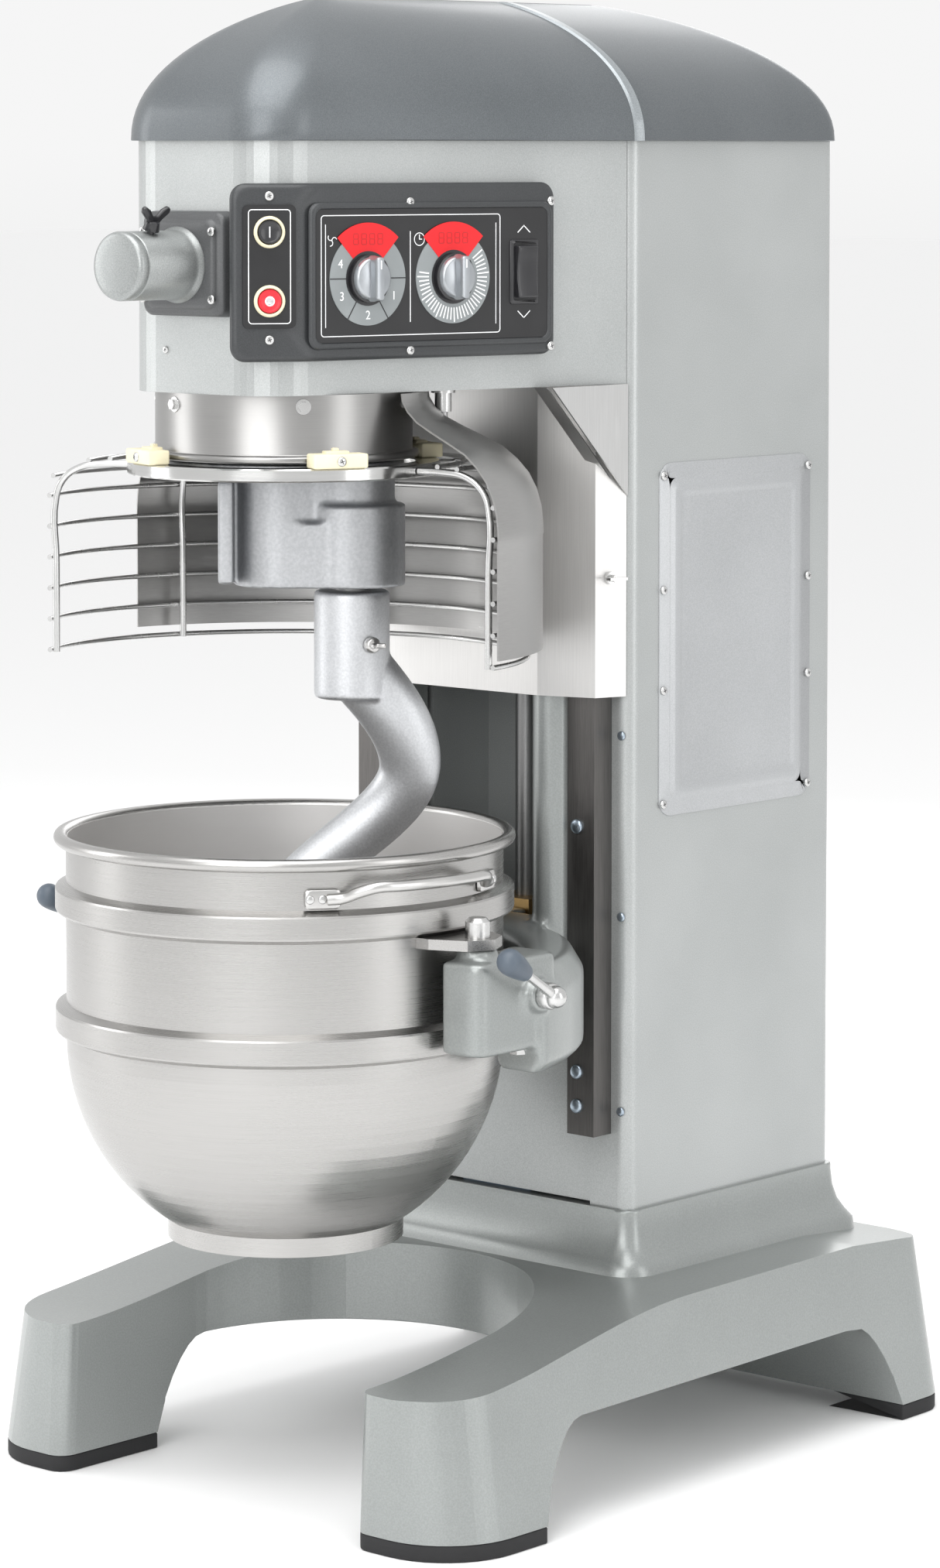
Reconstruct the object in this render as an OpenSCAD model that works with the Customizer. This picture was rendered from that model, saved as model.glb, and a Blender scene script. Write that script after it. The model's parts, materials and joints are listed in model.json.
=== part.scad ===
// Floor-standing planetary mixer, 60 quart, with its bowl lowered and its guard open.
// +Z is up, the front faces -Y, and the origin is on the floor at the middle of the footprint.
// Most modules draw about the bowl's vertical axis, which at_bowl() puts in its place.

/* [Overall] */
// Height to the crown of the hood
machine_h = 1604; // [1560:1:1700]
// Height of the head's underside
head_z = 1186; // [1160:1:1240]
// Height of the eave where the hood starts
eave_z = 1450; // [1430:1:1520]
// Bowl axis to the tip of the hub cap
hub_reach = 250; // [230:1:320]
// Bowl axis to the front of the column
column_setback = 336; // [330:1:400]
// Width of the column
column_w = 400; // [380:1:520]
// Depth of the column
column_d = 366; // [300:1:480]
// Rear feet behind the column
rear_foot_reach = 63; // [40:1:120]

/* [Base] */
// Width over the front feet
base_w = 710; // [660:1:860]
// Width over the rear feet
base_rear_w = 656; // [600:1:700]
// Width of the opening between the front legs
bay_w = 431; // [400:1:500]
// Bowl axis to the centre of the round end of that opening
bay_back_y = 80; // [60:1:84]
// Bowl axis to the front of the feet
leg_reach = 128; // [100:1:180]
// Height of the front legs at their tips
leg_tip_h = 162; // [140:1:170]
// Height of the base beside the column
deck_h = 207; // [195:1:215]
// Underside of the side rails
arch_z = 117; // [90:1:130]
// Height where the column stands on its plinth
plinth_z = 275; // [265:1:300]
// Thickness of the rubber foot pads
pad_h = 18; // [12:1:24]
// Draft of the legs from floor to top
leg_draft = 28; // [10:1:40]

/* [Column and head] */
// Sheet thickness of the column and head
shell_t = 3; // [2:0.5:6]
// Corner radius of the column
column_r = 16; // [10:1:30]
// Half width of the head's front face
head_nose = 107; // [95:1:130]
// Bowl axis to the head's front face
head_front = 135; // [125:1:170]
// Bend radius at the head's front corners
head_bend_r = 60; // [30:1:80]
// Overhang of the hood
hood_lip = 8; // [4:1:14]

/* [Bowl] */
// Inside radius of the bowl
bowl_r = 232.5; // [200:0.5:234]
// Wall of the bowl
bowl_wall = 1.6; // [1.2:0.1:3]
// Height of the bowl's rim when lowered
rim_z = 716; // [690:1:740]
// Depth of the bowl inside
bowl_depth = 430; // [400:1:450]
// Radius of the rolled rim's bead
rim_bead = 7; // [4:0.5:9]
// Radial thickness of the bands
band_t = 11.5; // [6:0.5:12]
// Travel of the bowl lift
lift_travel = 180; // [150:1:182]
// Radius of the locating pins
pin_r = 13; // [8:0.5:18]
// Bowl axis to a locating pin
pin_x = 275; // [270:1:282]

/* [Mixing drive] */
// Radius of the stainless drum under the head
drum_r = 137; // [130:1:140]
// Teeth of the fixed ring gear
ring_teeth = 54; // [50:2:56]
// Teeth of the agitator pinion
agitator_teeth = 18; // [18:2:20]
// Gear module
gear_m = 4; // [3.5:0.1:4]
// Radius of the agitator shaft
agitator_r = 20; // [15:0.5:24]
// Direction of the agitator at rest
agitator_a = 42; // [0:1:90]
// Height of the hook's lowest point
hook_tip_z = 500; // [500:1:560]
// Radius of the hook's collar
collar_r = 40.75; // [34:0.25:44]

/* [Guard] */
// Radius of the wire cage
guard_r = 260; // [256:1:262]
// Radius of a cage wire
wire_r = 2.8; // [2:0.1:3.5]
// Height of the lowest wire
guard_low_z = 902; // [900:1:930]
// Space between the level wires
wire_step = 33.4; // [28:0.1:34]
// Angle at which the cage starts
guard_from = 10; // [8:1:20]
// Angle that the cage spans
guard_span = 200; // [180:1:210]
// Radius of the solid splash shield
shield_r = 276; // [274:0.5:277]

/* [Controls] */
// Height of the dials' centres
dial_z = 1307; // [1290:1:1320]
// Radius of the dial faces
dial_r = 49; // [40:1:52]
// Radius of the knobs
knob_r = 25; // [18:1:30]
// Thickness of the control bezel
bezel_t = 18; // [12:1:24]
// Travel of the push buttons
button_travel = 3; // [2:0.5:4]

/* [Fits] */
// Gap between pieces that move past each other
gap = 0.3; // [0.2:0.05:0.5]
// Radial clearance of a shaft in its bearing
run_fit = 0.05; // [0.02:0.01:0.1]
// Backlash of the gears
backlash = 0.35; // [0.2:0.05:0.5]

/* [Hidden] */
overall_d = hub_reach + column_setback + column_d + rear_foot_reach;
bowl_y = hub_reach - overall_d/2;
base_back = column_setback + column_d + rear_foot_reach;
column_back = column_setback + column_d;
half_w = column_w/2;

// Heights and places worked out from the sizes above
slide_in = 137;          // inner face of each slideway from the middle
slide_out = 175;
slide_front = column_setback - 30;
saddle_low = 450;        // ends of the bowl support's saddle when lowered
saddle_top = 870;
saddle_y = column_setback - 52;
slide_low = 358;
slide_top = saddle_top + lift_travel + 90;
shroud_y = column_setback - 57;
shroud_low = 844;
screw_y = column_setback + 59;
screw_r = 12;
channel_half = 90;
channel_low = 470;
channel_top = slide_top;
hub_z = 1321;
hub_r = 36;
hub_bore_r = 24;
hub_shaft_r = 18;
ear_low = 616;
ear_top = 632;
ring_low = head_z - 89;
ring_top = ring_low + 14;
planet_low = head_z - 209;
shaft_r = 25;
ecc = gear_m*(ring_teeth - agitator_teeth)/2;
counter_y = gear_m*(48 + 16)/2;
motor_y = counter_y + gear_m*(44 + 16)/2;
case_low = head_z + 4;
case_top = case_low + 195;
flare = 10.5;            // angle of the head's side faces
bend_x = head_nose + (head_bend_r*sin(flare) - head_bend_r)/cos(flare);
bend_y = head_bend_r - head_front;

// Points of an arc, ends included
function arc(cx, cy, r, from, to, n = 8) =
    [for (i = [0:n]) [cx + r*cos(from + (to - from)*i/n), cy + r*sin(from + (to - from)*i/n)]];

// A right-hand half outline and its mirror, as one loop
function both_sides(half) =
    concat(half, [for (i = [len(half) - 1:-1:0]) [-half[i][0], half[i][1]]]);

// Plan of the head, taken in by t, out to the depth y1
function head_plan(t, y1) = both_sides(concat(
    arc(bend_x, bend_y, head_bend_r - t, -90, -flare, 10),
    [[head_nose + (tan(flare)*(y1 + head_front)) - t/cos(flare), y1]]));

module at_bowl() translate([0, bowl_y, 0]) children();

// Both sides of the machine
module pair() {
    children();
    mirror([1, 0, 0]) children();
}

// A rounded rectangle from its corners
module plate(x0, y0, x1, y1, r) {
    translate([x0 + r, y0]) square([x1 - x0 - 2*r, y1 - y0]);
    translate([x0, y0 + r]) square([x1 - x0, y1 - y0 - 2*r]);
    for (x = [x0 + r, x1 - r], y = [y0 + r, y1 - r])
        translate([x, y]) circle(r, $fn = 48);
}

module block(x0, y0, z0, x1, y1, z1) translate([x0, y0, z0]) cube([x1 - x0, y1 - y0, z1 - z0]);

// A vertical tube
module tube(r1, r0, z0, z1) translate([0, 0, z0]) difference() {
    cylinder(h = z1 - z0, r = r1, $fn = 96);
    translate([0, 0, -1]) cylinder(h = z1 - z0 + 2, r = r0, $fn = 96);
}

// A straight round rod between two points
module rod(p, q, r) {
    v = q - p;
    l = norm(v);
    translate(p) rotate([0, acos(v[2]/l), atan2(v[1], v[0])]) cylinder(h = l, r = r, $fn = 32);
}

// A pan-head screw whose seat is at z = 0
module pan_screw(r = 6) {
    cylinder(h = r*0.45, r = r, $fn = 32);
    translate([0, 0, r*0.45]) cylinder(h = r*0.15, r1 = r, r2 = r*0.6, $fn = 32);
}

// Something drawn in YZ and pushed out along X, centred
module across(w) rotate([90, 0, 90]) translate([0, 0, -w/2]) linear_extrude(w) children();

// Something drawn in XZ and pushed out along Y from y0 to y1
module along(y0, y1) translate([0, y1, 0]) rotate([90, 0, 0]) linear_extrude(y1 - y0) children();

// Drawn flat, facing out: x runs along the wall, y is up
module on_wall(x, y, z, facing) translate([x, y, z]) rotate([90, 0, facing + 90]) children();

// On the head's right-hand side face, s along it from its front corner
module on_head_side(s, z, out = 0) on_wall(
    head_nose + s*sin(flare) + out*cos(flare),
    s*cos(flare) - head_front - out*sin(flare), z, -flare) children();

// ---- Gears ----
// One flank point of an involute tooth
function flank(r, rb) =
    let (t = sqrt(max(0, pow(r/rb, 2) - 1))) t*180/PI - atan(t);

function tooth(n, m, ra, rf, play, k, steps = 4) = let (
    rp = n*m/2,
    rb = rp*cos(20),
    half = 90/n - play/rp*90/PI + flank(rp, rb),
    r0 = max(rf, rb),
    mid = 360*k/n)
    concat(
        [[rf*cos(mid - half), rf*sin(mid - half)]],
        [for (i = [0:steps]) let (r = r0 + (ra - r0)*i/steps, a = mid - half + flank(r, rb))
            [r*cos(a), r*sin(a)]],
        [for (i = [steps:-1:0]) let (r = r0 + (ra - r0)*i/steps, a = mid + half - flank(r, rb))
            [r*cos(a), r*sin(a)]],
        [[rf*cos(mid + half), rf*sin(mid + half)]]);

module gear_2d(n, m, add = 1, ded = 1.25, play = backlash) polygon(
    [for (k = [0:n - 1]) each tooth(n, m, n*m/2 + add*m, n*m/2 - ded*m, play, k)]);

module gear(n, z0, z1, turn = 0) translate([0, 0, z0]) rotate(turn)
    linear_extrude(z1 - z0) gear_2d(n, gear_m);

// ---- Base ----
// Half of the base's plan, from the inner front corner round to the back
function base_half() = let (
    w = base_w/2,
    wr = base_rear_w/2,
    inner = bay_w/2)
    concat(
        arc(0, bay_back_y, inner, 90, 0, 20),
        arc(inner + 20, 20 - leg_reach, 20, 180, 270, 5),
        arc(w - 90, 90 - leg_reach, 90, -90, 0, 10),
        [[w, 20]],
        arc(wr - 44, base_back - 50, 46, -2, 70, 6),
        [[wr - 70, base_back], [0, base_back]]);

module base_plan() {
    polygon(base_half());
    mirror([1, 0]) polygon(base_half());
}

// Side view of the base: legs, arches and deck
module base_side() polygon(concat(
    [[-leg_reach - 1, pad_h], [6 - leg_reach, leg_tip_h - 26]],
    arc(32 - leg_reach, leg_tip_h - 26, 24, 180, 95, 5),
    [[90, leg_tip_h + 9], [260, deck_h - 7], [455, deck_h], [base_back - 45, deck_h - 7]],
    arc(base_back - 40, deck_h - 38, 31, 90, 12, 5),
    [[base_back + 1, pad_h], [base_back - 99, pad_h], [base_back - 118, 76]],
    arc(base_back - 158, arch_z - 40, 40, 20, 90, 5),
    arc(90, arch_z - 45, 45, 90, 165, 6),
    [[20, pad_h]]));

module leg_draft_2d() polygon([[-base_w/2, pad_h], [base_w/2, pad_h],
    [base_w/2 - leg_draft, deck_h + 5], [leg_draft - base_w/2, deck_h + 5]]);

// Section of the column's flared foot, which stands between lo and hi at its top
function flared(lo, hi) = concat(
    [[lo - 34, deck_h - 12], [lo - 16, deck_h + 12], [lo - 5, deck_h + 32], [lo, plinth_z - 14],
     [lo, plinth_z]],
    [[hi, plinth_z], [hi, plinth_z - 14], [hi + 5, deck_h + 32], [hi + 16, deck_h + 12],
     [hi + 34, deck_h - 12]]);

module base_casting() color("darkgray") at_bowl() difference() {
    union() {
        intersection() {
            linear_extrude(deck_h + 20) base_plan();
            across(base_w + 10) base_side();
            along(-leg_reach - 10, base_back + 10) leg_draft_2d();
        }
        intersection() {
            along(column_setback - 44, column_back + 44) polygon(flared(-half_w - 5, half_w + 5));
            across(base_w) polygon(flared(column_setback - 4, column_back + 4));
        }
    }
    // hollow underside of the deck and of both side rails
    block(-half_w + 25, column_setback + 20, -1, half_w - 25, column_back - 20, plinth_z - 14);
    pair() block(bay_w/2 + 16, 60, -1, base_rear_w/2 - 44, column_back - 50, deck_h - 45);
    // arch between the rear feet
    block(-base_rear_w/2 + 98, column_back - 45, -1, base_rear_w/2 - 98, base_back + 9, arch_z);
}

module foot_pads() color("black") at_bowl() linear_extrude(pad_h) intersection() {
    base_plan();
    union() pair() {
        translate([bay_w/2 - 10, -leg_reach - 10]) square([base_w/2, leg_reach + 30]);
        translate([base_rear_w/2 - 98, base_back - 99]) square([150, 110]);
    }
}

// ---- Column ----
module column_plan(t) plate(-half_w + t, column_setback + t, half_w - t, column_back - t,
    column_r - t);

panel_y0 = column_setback + 50;
panel_y1 = column_back - 46;
panel_z0 = 706;
panel_z1 = 1097;

module column_shell() color("silver") at_bowl() difference() {
    translate([0, 0, plinth_z]) linear_extrude(eave_z - plinth_z) difference() {
        column_plan(0);
        column_plan(shell_t);
    }
    // front opening between the slideways' flanges
    block(-slide_in - 8, column_setback - 5, plinth_z - 1, slide_in + 8, column_setback + 10,
        eave_z + 1);
    // openings behind the side panels and the rear cover
    pair() block(half_w - 10, panel_y0 + 20, panel_z0 + 20, half_w + 5, panel_y1 - 20,
        panel_z1 - 20);
    block(-half_w + 50, column_back - 10, 350, half_w - 50, column_back + 5, 1360);
}

module side_panel() {
    on_wall(half_w, 0, 0, 0) {
        linear_extrude(2) plate(panel_y0, panel_z0, panel_y1, panel_z1, 22);
        translate([0, 0, 2]) linear_extrude(3) difference() {
            plate(panel_y0 + 11, panel_z0 + 11, panel_y1 - 11, panel_z1 - 11, 18);
            plate(panel_y0 + 17, panel_z0 + 17, panel_y1 - 17, panel_z1 - 17, 14);
        }
        translate([0, 0, 2]) linear_extrude(1.5)
            plate(panel_y0 + 17, panel_z0 + 17, panel_y1 - 17, panel_z1 - 17, 14);
    }
}

module side_access_panels() color("lightgray") at_bowl() pair() side_panel();

rear_x = half_w - 35;
rear_z0 = 335;
rear_z1 = 1375;

module rear_cover() color("silver") at_bowl() difference() {
    on_wall(0, column_back, 0, 90) linear_extrude(3) plate(-rear_x, rear_z0, rear_x, rear_z1, 20);
    for (row = [0:9]) for (z = [430, 1130])
        block(-90, column_back - 5, z + row*16, 90, column_back + 5, z + row*16 + 6);
}

// Seats of every pan-head screw on the covers, panel and hub
module panel_screws() color("whitesmoke") at_bowl() {
    pair() for (y = [panel_y0 + 5.5, panel_y1 - 5.5])
        for (z = [panel_z0 + 14, panel_z0 + 140, panel_z1 - 140, panel_z1 - 14])
            on_wall(half_w + 2, y, z, 0) pan_screw(5);
    for (x = [-rear_x + 12, rear_x - 12], z = [rear_z0 + 20:200:rear_z1 - 20])
        on_wall(x, column_back + 3, z, 90) pan_screw(6);
    for (x = [-50, 50], z = [hub_z - 35, hub_z + 35])
        on_wall(x, -head_front - hub_plate_t, z, -90) pan_screw(5);
    for (s = [169, 358], z = [dial_z - 76, dial_z + 79])
        on_head_side(s, z, bezel_t) pan_screw(5);
    for (z = [dial_z - 62, dial_z + 86]) on_facet(0, z) pan_screw(5);
    for (x = [-42, 60]) on_wall(x, -head_front, 1231, -90) pan_screw(4);
}

module column_front_cover() color("darkgray") at_bowl() difference() {
    union() {
        block(-165, column_setback + shell_t, plinth_z + 3, 165, column_setback + shell_t + 3,
            head_z - 4);
        block(-channel_half - 3, column_setback + shell_t, channel_low - 3, channel_half + 3,
            column_setback + 100, channel_top + 3);
    }
    block(-channel_half, column_setback - 5, channel_low, channel_half, column_setback + 97,
        channel_top);
    // holes where the lift screw leaves the channel
    translate([0, screw_y, channel_low - 10]) cylinder(h = 700, r = 20, $fn = 48);
}

module slideways() color("dimgray") at_bowl() pair()
    block(slide_in, slide_front, slide_low, slide_out, column_setback, slide_top);

module slideway_bolts() color("lightgray") at_bowl() pair() {
    for (z = [390, 428, 700, 850, 1010])
        on_wall(slide_in + 14, slide_front, z, -90) cylinder(h = 4, r = 8, $fn = 32);
    for (z = [384, 600, 800]) on_wall(slide_out + 14, column_setback, z, -90) pan_screw(5);
}

// Plan of the shroud, taken in by t
function shroud_half(t) = [[116 - t*0.3, shroud_y + t],
    [slide_out + 7 - t, shroud_y + 20 + t*0.6], [slide_out + 20 - t, column_setback]];

module shroud_2d(t) polygon(both_sides(shroud_half(t)));

module column_shroud() color("gainsboro") at_bowl() translate([0, 0, shroud_low])
    linear_extrude(head_z - shroud_low) difference() {
        shroud_2d(0);
        shroud_2d(2);
    }

module shroud_screws() color("whitesmoke") at_bowl() pair()
    translate([slide_out + 13.3, column_setback - 20, 975]) rotate([90, 0, 70.7]) {
        cylinder(h = 6, r = 7, $fn = 32);
        translate([0, 0, 6]) cylinder(h = 8, r = 4, $fn = 32);
        translate([-11, -1.5, 10]) cube([22, 3, 10]);
    }

// ---- Head ----
module head_shell() color("silver") at_bowl() difference() {
    translate([0, 0, head_z]) linear_extrude(eave_z - head_z)
        polygon(head_plan(0, column_setback));
    translate([0, 0, head_z + 4]) linear_extrude(eave_z - head_z)
        polygon(head_plan(shell_t, column_setback + 5));
    // openings for the planetary shaft and the hub
    translate([0, 0, head_z - 5]) cylinder(h = 20, r = 40, $fn = 64);
    on_wall(0, -head_front + 10, hub_z, -90) cylinder(h = 20, r = 30, $fn = 64);
}

gusset_h = 122;

module head_gussets() color("gainsboro") at_bowl() pair() {
    translate([half_w - 4, 0, 0]) across(2) polygon([[column_setback - 126, head_z],
        [column_setback, head_z], [column_setback, head_z - gusset_h]]);
    difference() {
        translate([slide_out + 4, 0, 0]) across(18) polygon([[column_setback - 126, head_z],
            [column_setback - 124, head_z], [column_setback, head_z - gusset_h + 2],
            [column_setback, head_z - gusset_h]]);
        translate([0, 0, head_z - 200]) linear_extrude(220) shroud_2d(0);
    }
}

// Hood: the plan of head and column, drawn in as it rises
hood_h = machine_h - eave_z;
hood_mid_y = (column_back - head_front)/2;
hood_half_l = (column_back + head_front)/2 + hood_lip;

function hood_plan() = both_sides(concat(
    arc(bend_x, bend_y, head_bend_r + hood_lip, -90, -flare, 10),
    [[half_w + hood_lip, column_setback + 14]],
    arc(half_w - 22, column_back - 22, 30, 0, 90, 6)));

function hood_inset(k) = (half_w + hood_lip)*(1 - pow(1 - pow(k, 2.2), 0.75));

module hood_dome(t) hull() for (k = [0, 0.14, 0.28, 0.42, 0.55, 0.67, 0.78, 0.88, 0.95, 1])
    translate([0, hood_mid_y, eave_z + k*(hood_h - t - 1)]) scale([
        max(0.02, 1 - (hood_inset(k) + t)/(half_w + hood_lip)),
        max(0.02, 1 - (hood_inset(k) + t)/hood_half_l), 1])
        translate([0, -hood_mid_y, 0]) linear_extrude(1) polygon(hood_plan());

module hood() color("slategray") at_bowl() difference() {
    hood_dome(0);
    translate([0, 0, -0.01]) hood_dome(4);
}

module gear_case() color("gray") at_bowl() difference() {
    translate([0, 0, case_low]) linear_extrude(case_top - case_low)
        polygon(head_plan(14, motor_y + 76));
    translate([0, 0, case_low + 14]) linear_extrude(case_top - case_low - 28)
        polygon(head_plan(22, motor_y + 68));
    for (y = [0, counter_y]) translate([0, y, case_low - 5])
        cylinder(h = 25, r = y == 0 ? 40 : 24, $fn = 64);
    translate([0, counter_y, case_top - 20]) cylinder(h = 25, r = 24, $fn = 64);
    translate([0, motor_y, case_top - 20]) cylinder(h = 25, r = 16, $fn = 64);
    on_wall(0, -head_front + 40, hub_z, -90) cylinder(h = 40, r = 28, $fn = 64);
}

// ---- Drum, guard ring and shield ----
module planetary_drum() color("gainsboro") at_bowl() {
    tube(drum_r, drum_r - 2, ring_top + 8, head_z);
    translate([0, 0, ring_top + 8]) rotate_extrude($fn = 96) translate([drum_r + 3, 0])
        circle(4.2, $fn = 24);
}

module ring_gear() color("dimgray") at_bowl() {
    tube(122, 117, ring_top + 37, head_z);
    translate([0, 0, ring_top + 17]) linear_extrude(20) difference() {
        circle(122, $fn = 96);
        rotate(agitator_a) gear_2d(ring_teeth, gear_m, 1.25, 0.9, -backlash);
    }
}

module guard_ring() color("gainsboro") at_bowl() tube(167, 141, ring_low, ring_top);

// A cage wire that runs level at radius r and height z
module hoop(r, z) translate([0, 0, z]) rotate([0, 0, guard_from])
    rotate_extrude(angle = guard_span, $fn = 96) translate([r, 0]) circle(wire_r, $fn = 24);

// A bent upright inside the cage, from the lowest wire over the shoulder to the ring
module upright(a, r = wire_r + 1) rotate(a) {
    inner = guard_r - wire_r - r - 0.05;
    bend_z = guard_low_z + 5*wire_step + 4;
    rod([inner, 0, guard_low_z - 2], [inner, 0, bend_z], r);
    translate([inner, 0, bend_z]) sphere(r, $fn = 32);
    rod([inner, 0, bend_z], [inner - 18, 0, ring_low + 2], r);
    translate([inner - 18, 0, ring_low + 2]) sphere(r, $fn = 32);
    rod([inner - 18, 0, ring_low + 2], [167.1, 0, ring_low + 7], r);
}

module guard_wires() color("whitesmoke") at_bowl() {
    for (i = [0:5]) hoop(guard_r, guard_low_z + i*wire_step);
    hoop(guard_r - 44, ring_low + 10.6);
    hoop(guard_r - 68, ring_low + 12.4);
    for (k = [0.003, 0.25, 0.5, 0.75, 0.997]) upright(guard_from + k*guard_span);
}

// Guides that hook over the drum's bead and carry the ring
module guard_guides() color("beige") at_bowl() for (a = [64, 154, 249, 334]) rotate(a) {
    difference() {
        block(drum_r + 4, -30, ring_top, 171, 30, ring_top + 18);
        tube(drum_r + 7.2 + gap, drum_r - 5, ring_top - 1, ring_top + 12.2 + gap);
    }
    translate([150, 0, ring_top + 18]) cylinder(h = 3, r = 5, $fn = 32);
}

function shield_line() = [[shield_r - 2, 911], [shield_r - 2, 1050], [shield_r - 16, 1096],
    [235, 1122], [175, 1152], [152, head_z - 8], [152, head_z - 0.6]];

module splash_shield() color("gainsboro") at_bowl() difference() {
    rotate([0, 0, 7]) rotate_extrude(angle = 163, $fn = 96) {
        line = shield_line();
        polygon(concat(line, [for (i = [len(line) - 1:-1:0]) line[i] + [2, 0.6]]));
    }
    translate([switch_x, switch_y, head_z - 100]) cylinder(h = 90, r = 14, $fn = 32);
}

switch_x = 120;
switch_y = 120;

module interlock_switch() color("silver") at_bowl()
    translate([switch_x, switch_y, 0]) {
        tube(9, 5 + gap, head_z - 24, head_z - 4);
        translate([0, 0, head_z - 4]) cylinder(h = 4, r = 13, $fn = 32);
    }

module interlock_plunger() color("dimgray") at_bowl()
    translate([switch_x, switch_y, head_z - 39]) {
        cylinder(h = 27, r = 5, $fn = 32);
        cylinder(h = 5, r = 7, $fn = 32);
    }

// ---- Planetary head, agitator and hook ----
module at_agitator() rotate(agitator_a) translate([ecc, 0, 0]) children();

module planetary_head() color("darkgray") at_bowl() difference() {
    union() {
        cylinder_at(0, 52, planet_low, ring_low + 9);
        cylinder_at(0, 128, ring_low + 4, ring_top + 3);
        rotate(agitator_a) {
            cylinder_at(ecc, 57, planet_low, planet_low + 88);
            cylinder_at(ecc, 46, planet_low + 88, ring_low + 9);
            block(0, -52, planet_low, ecc, 52, planet_low + 70);
            block(0, -44, planet_low + 70, ecc, 44, ring_low + 9);
            block(-69, -46, planet_low + 4, -53, 46, ring_low - 6);
            block(-56, -12, planet_low + 4, -40, 12, ring_low - 6);
        }
    }
    rotate(agitator_a) translate([ecc, 0, planet_low - 5]) {
        cylinder(h = 200, r = agitator_r + 2, $fn = 64);
        cylinder(h = 23, r = 34, $fn = 64);
        translate([0, 0, 108]) cylinder(h = 60, r = 34, $fn = 64);
    }
    translate([0, 0, ring_low - 40]) cylinder(h = 100, r = shaft_r, $fn = 64);
}

module cylinder_at(x, r, z0, z1) translate([x, 0, z0]) cylinder(h = z1 - z0, r = r, $fn = 96);

module agitator_bearings() color("whitesmoke") at_bowl() at_agitator() {
    tube(34, agitator_r + run_fit, planet_low + 3, planet_low + 18);
    tube(34, agitator_r + run_fit, planet_low + 103, planet_low + 118);
}

module agitator_shaft() color("silver") at_bowl() at_agitator()
    cylinder_at(0, agitator_r, collar_low + 18, ring_top + 38);

module agitator_pinion() color("dimgray") at_bowl() at_agitator() difference() {
    gear(agitator_teeth, ring_top + 17, ring_top + 37);
    translate([0, 0, ring_top]) cylinder(h = 60, r = agitator_r, $fn = 64);
}

module planetary_gear() color("dimgray") at_bowl() {
    cylinder_at(0, shaft_r, ring_low - 40, hub_z - 40);
    difference() {
        gear(48, case_low + 22, case_low + 40, 90);
        cylinder_at(0, shaft_r, case_low, case_low + 60);
    }
    bevel(90 + 9);
}

// Mitre gear whose apex is at the hub's axis
module bevel(turn) translate([0, 0, hub_z - 40]) rotate(turn)
    linear_extrude(16, scale = 24/40) gear_2d(20, 4, 0.75, 0.9, 0.8);

module countershaft_gears() color("dimgray") at_bowl() translate([0, counter_y, 0]) {
    cylinder_at(0, 14, case_low + 2, case_top - 2);
    difference() {
        union() {
            gear(16, case_low + 20, case_low + 42, -90 + 180/16);
            gear(44, case_low + 50, case_low + 68, 90);
        }
        cylinder_at(0, 14, case_low, case_low + 80);
    }
}

module motor_pinion() color("dimgray") at_bowl() translate([0, motor_y, 0]) {
    cylinder_at(0, 12, case_low + 44, case_top + 4);
    difference() {
        gear(16, case_low + 48, case_low + 70, -90 + 180/16);
        cylinder_at(0, 12, case_low, case_low + 80);
    }
}

module drive_motor() color("steelblue") at_bowl() translate([0, motor_y, 0]) difference() {
    union() {
        cylinder_at(0, 88, case_top, case_top + 12);
        cylinder_at(0, 76, case_top + 12, machine_h - 60);
        for (a = [0:15:345]) rotate(a) block(74, -2, case_top + 14, 84, 2, machine_h - 70);
    }
    cylinder_at(0, 13, case_top - 1, case_top + 8);
}

module shaft_bearings() color("whitesmoke") at_bowl() {
    tube(40, shaft_r + run_fit, case_low, case_low + 14);
    for (z = [case_low, case_top - 14]) translate([0, counter_y, 0])
        tube(24, 14 + run_fit, z, z + 14);
    on_wall(0, 0, hub_z, -90) {
        tube(28, hub_shaft_r + run_fit, head_front - 22, head_front - 14);
        tube(hub_bore_r, hub_shaft_r + run_fit, head_front + 40, head_front + 54);
    }
    for (z = [channel_low - 3, channel_top]) translate([0, screw_y, 0])
        tube(20, screw_r + run_fit, z, z + 3);
}

// The hook's line in its own upright plane: t runs from 0 at the collar to 1 at the tip
collar_low = planet_low - 121;
collar_top = planet_low - 5;

function hook_x(t) = t < 0.3 ? 62*sin(90*t/0.3) : 62 - 150*(0.5 - 0.5*cos(180*(t - 0.3)/0.5))
    + (t > 0.8 ? 80*pow((t - 0.8)/0.2, 1.3) : 0);
function hook_y(t) = 26*sin(180*t)*sin(180*t);
function hook_z(t) = (collar_low + 38) + (hook_tip_z + 24 - collar_low - 38)*t;
function hook_half(t) = 37 - 13*t;

function hook_at(t) = [hook_x(min(t, 1)), hook_y(t), hook_z(t)];

function unit(v) = v/norm(v);

// One ring of the hook's surface, flattened across its plane
function hook_ring(t, sides) = let (
    p = hook_at(t),
    d = unit(hook_at(t + 0.01) - hook_at(t - 0.01)),
    b = unit(cross(d, [0, 1, 0])),
    c = cross(b, d),
    w = hook_half(t))
    [for (i = [0:sides - 1]) let (a = 360*i/sides)
        p + b*(w*cos(a)) + c*(w*0.72*sin(a))];

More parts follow.
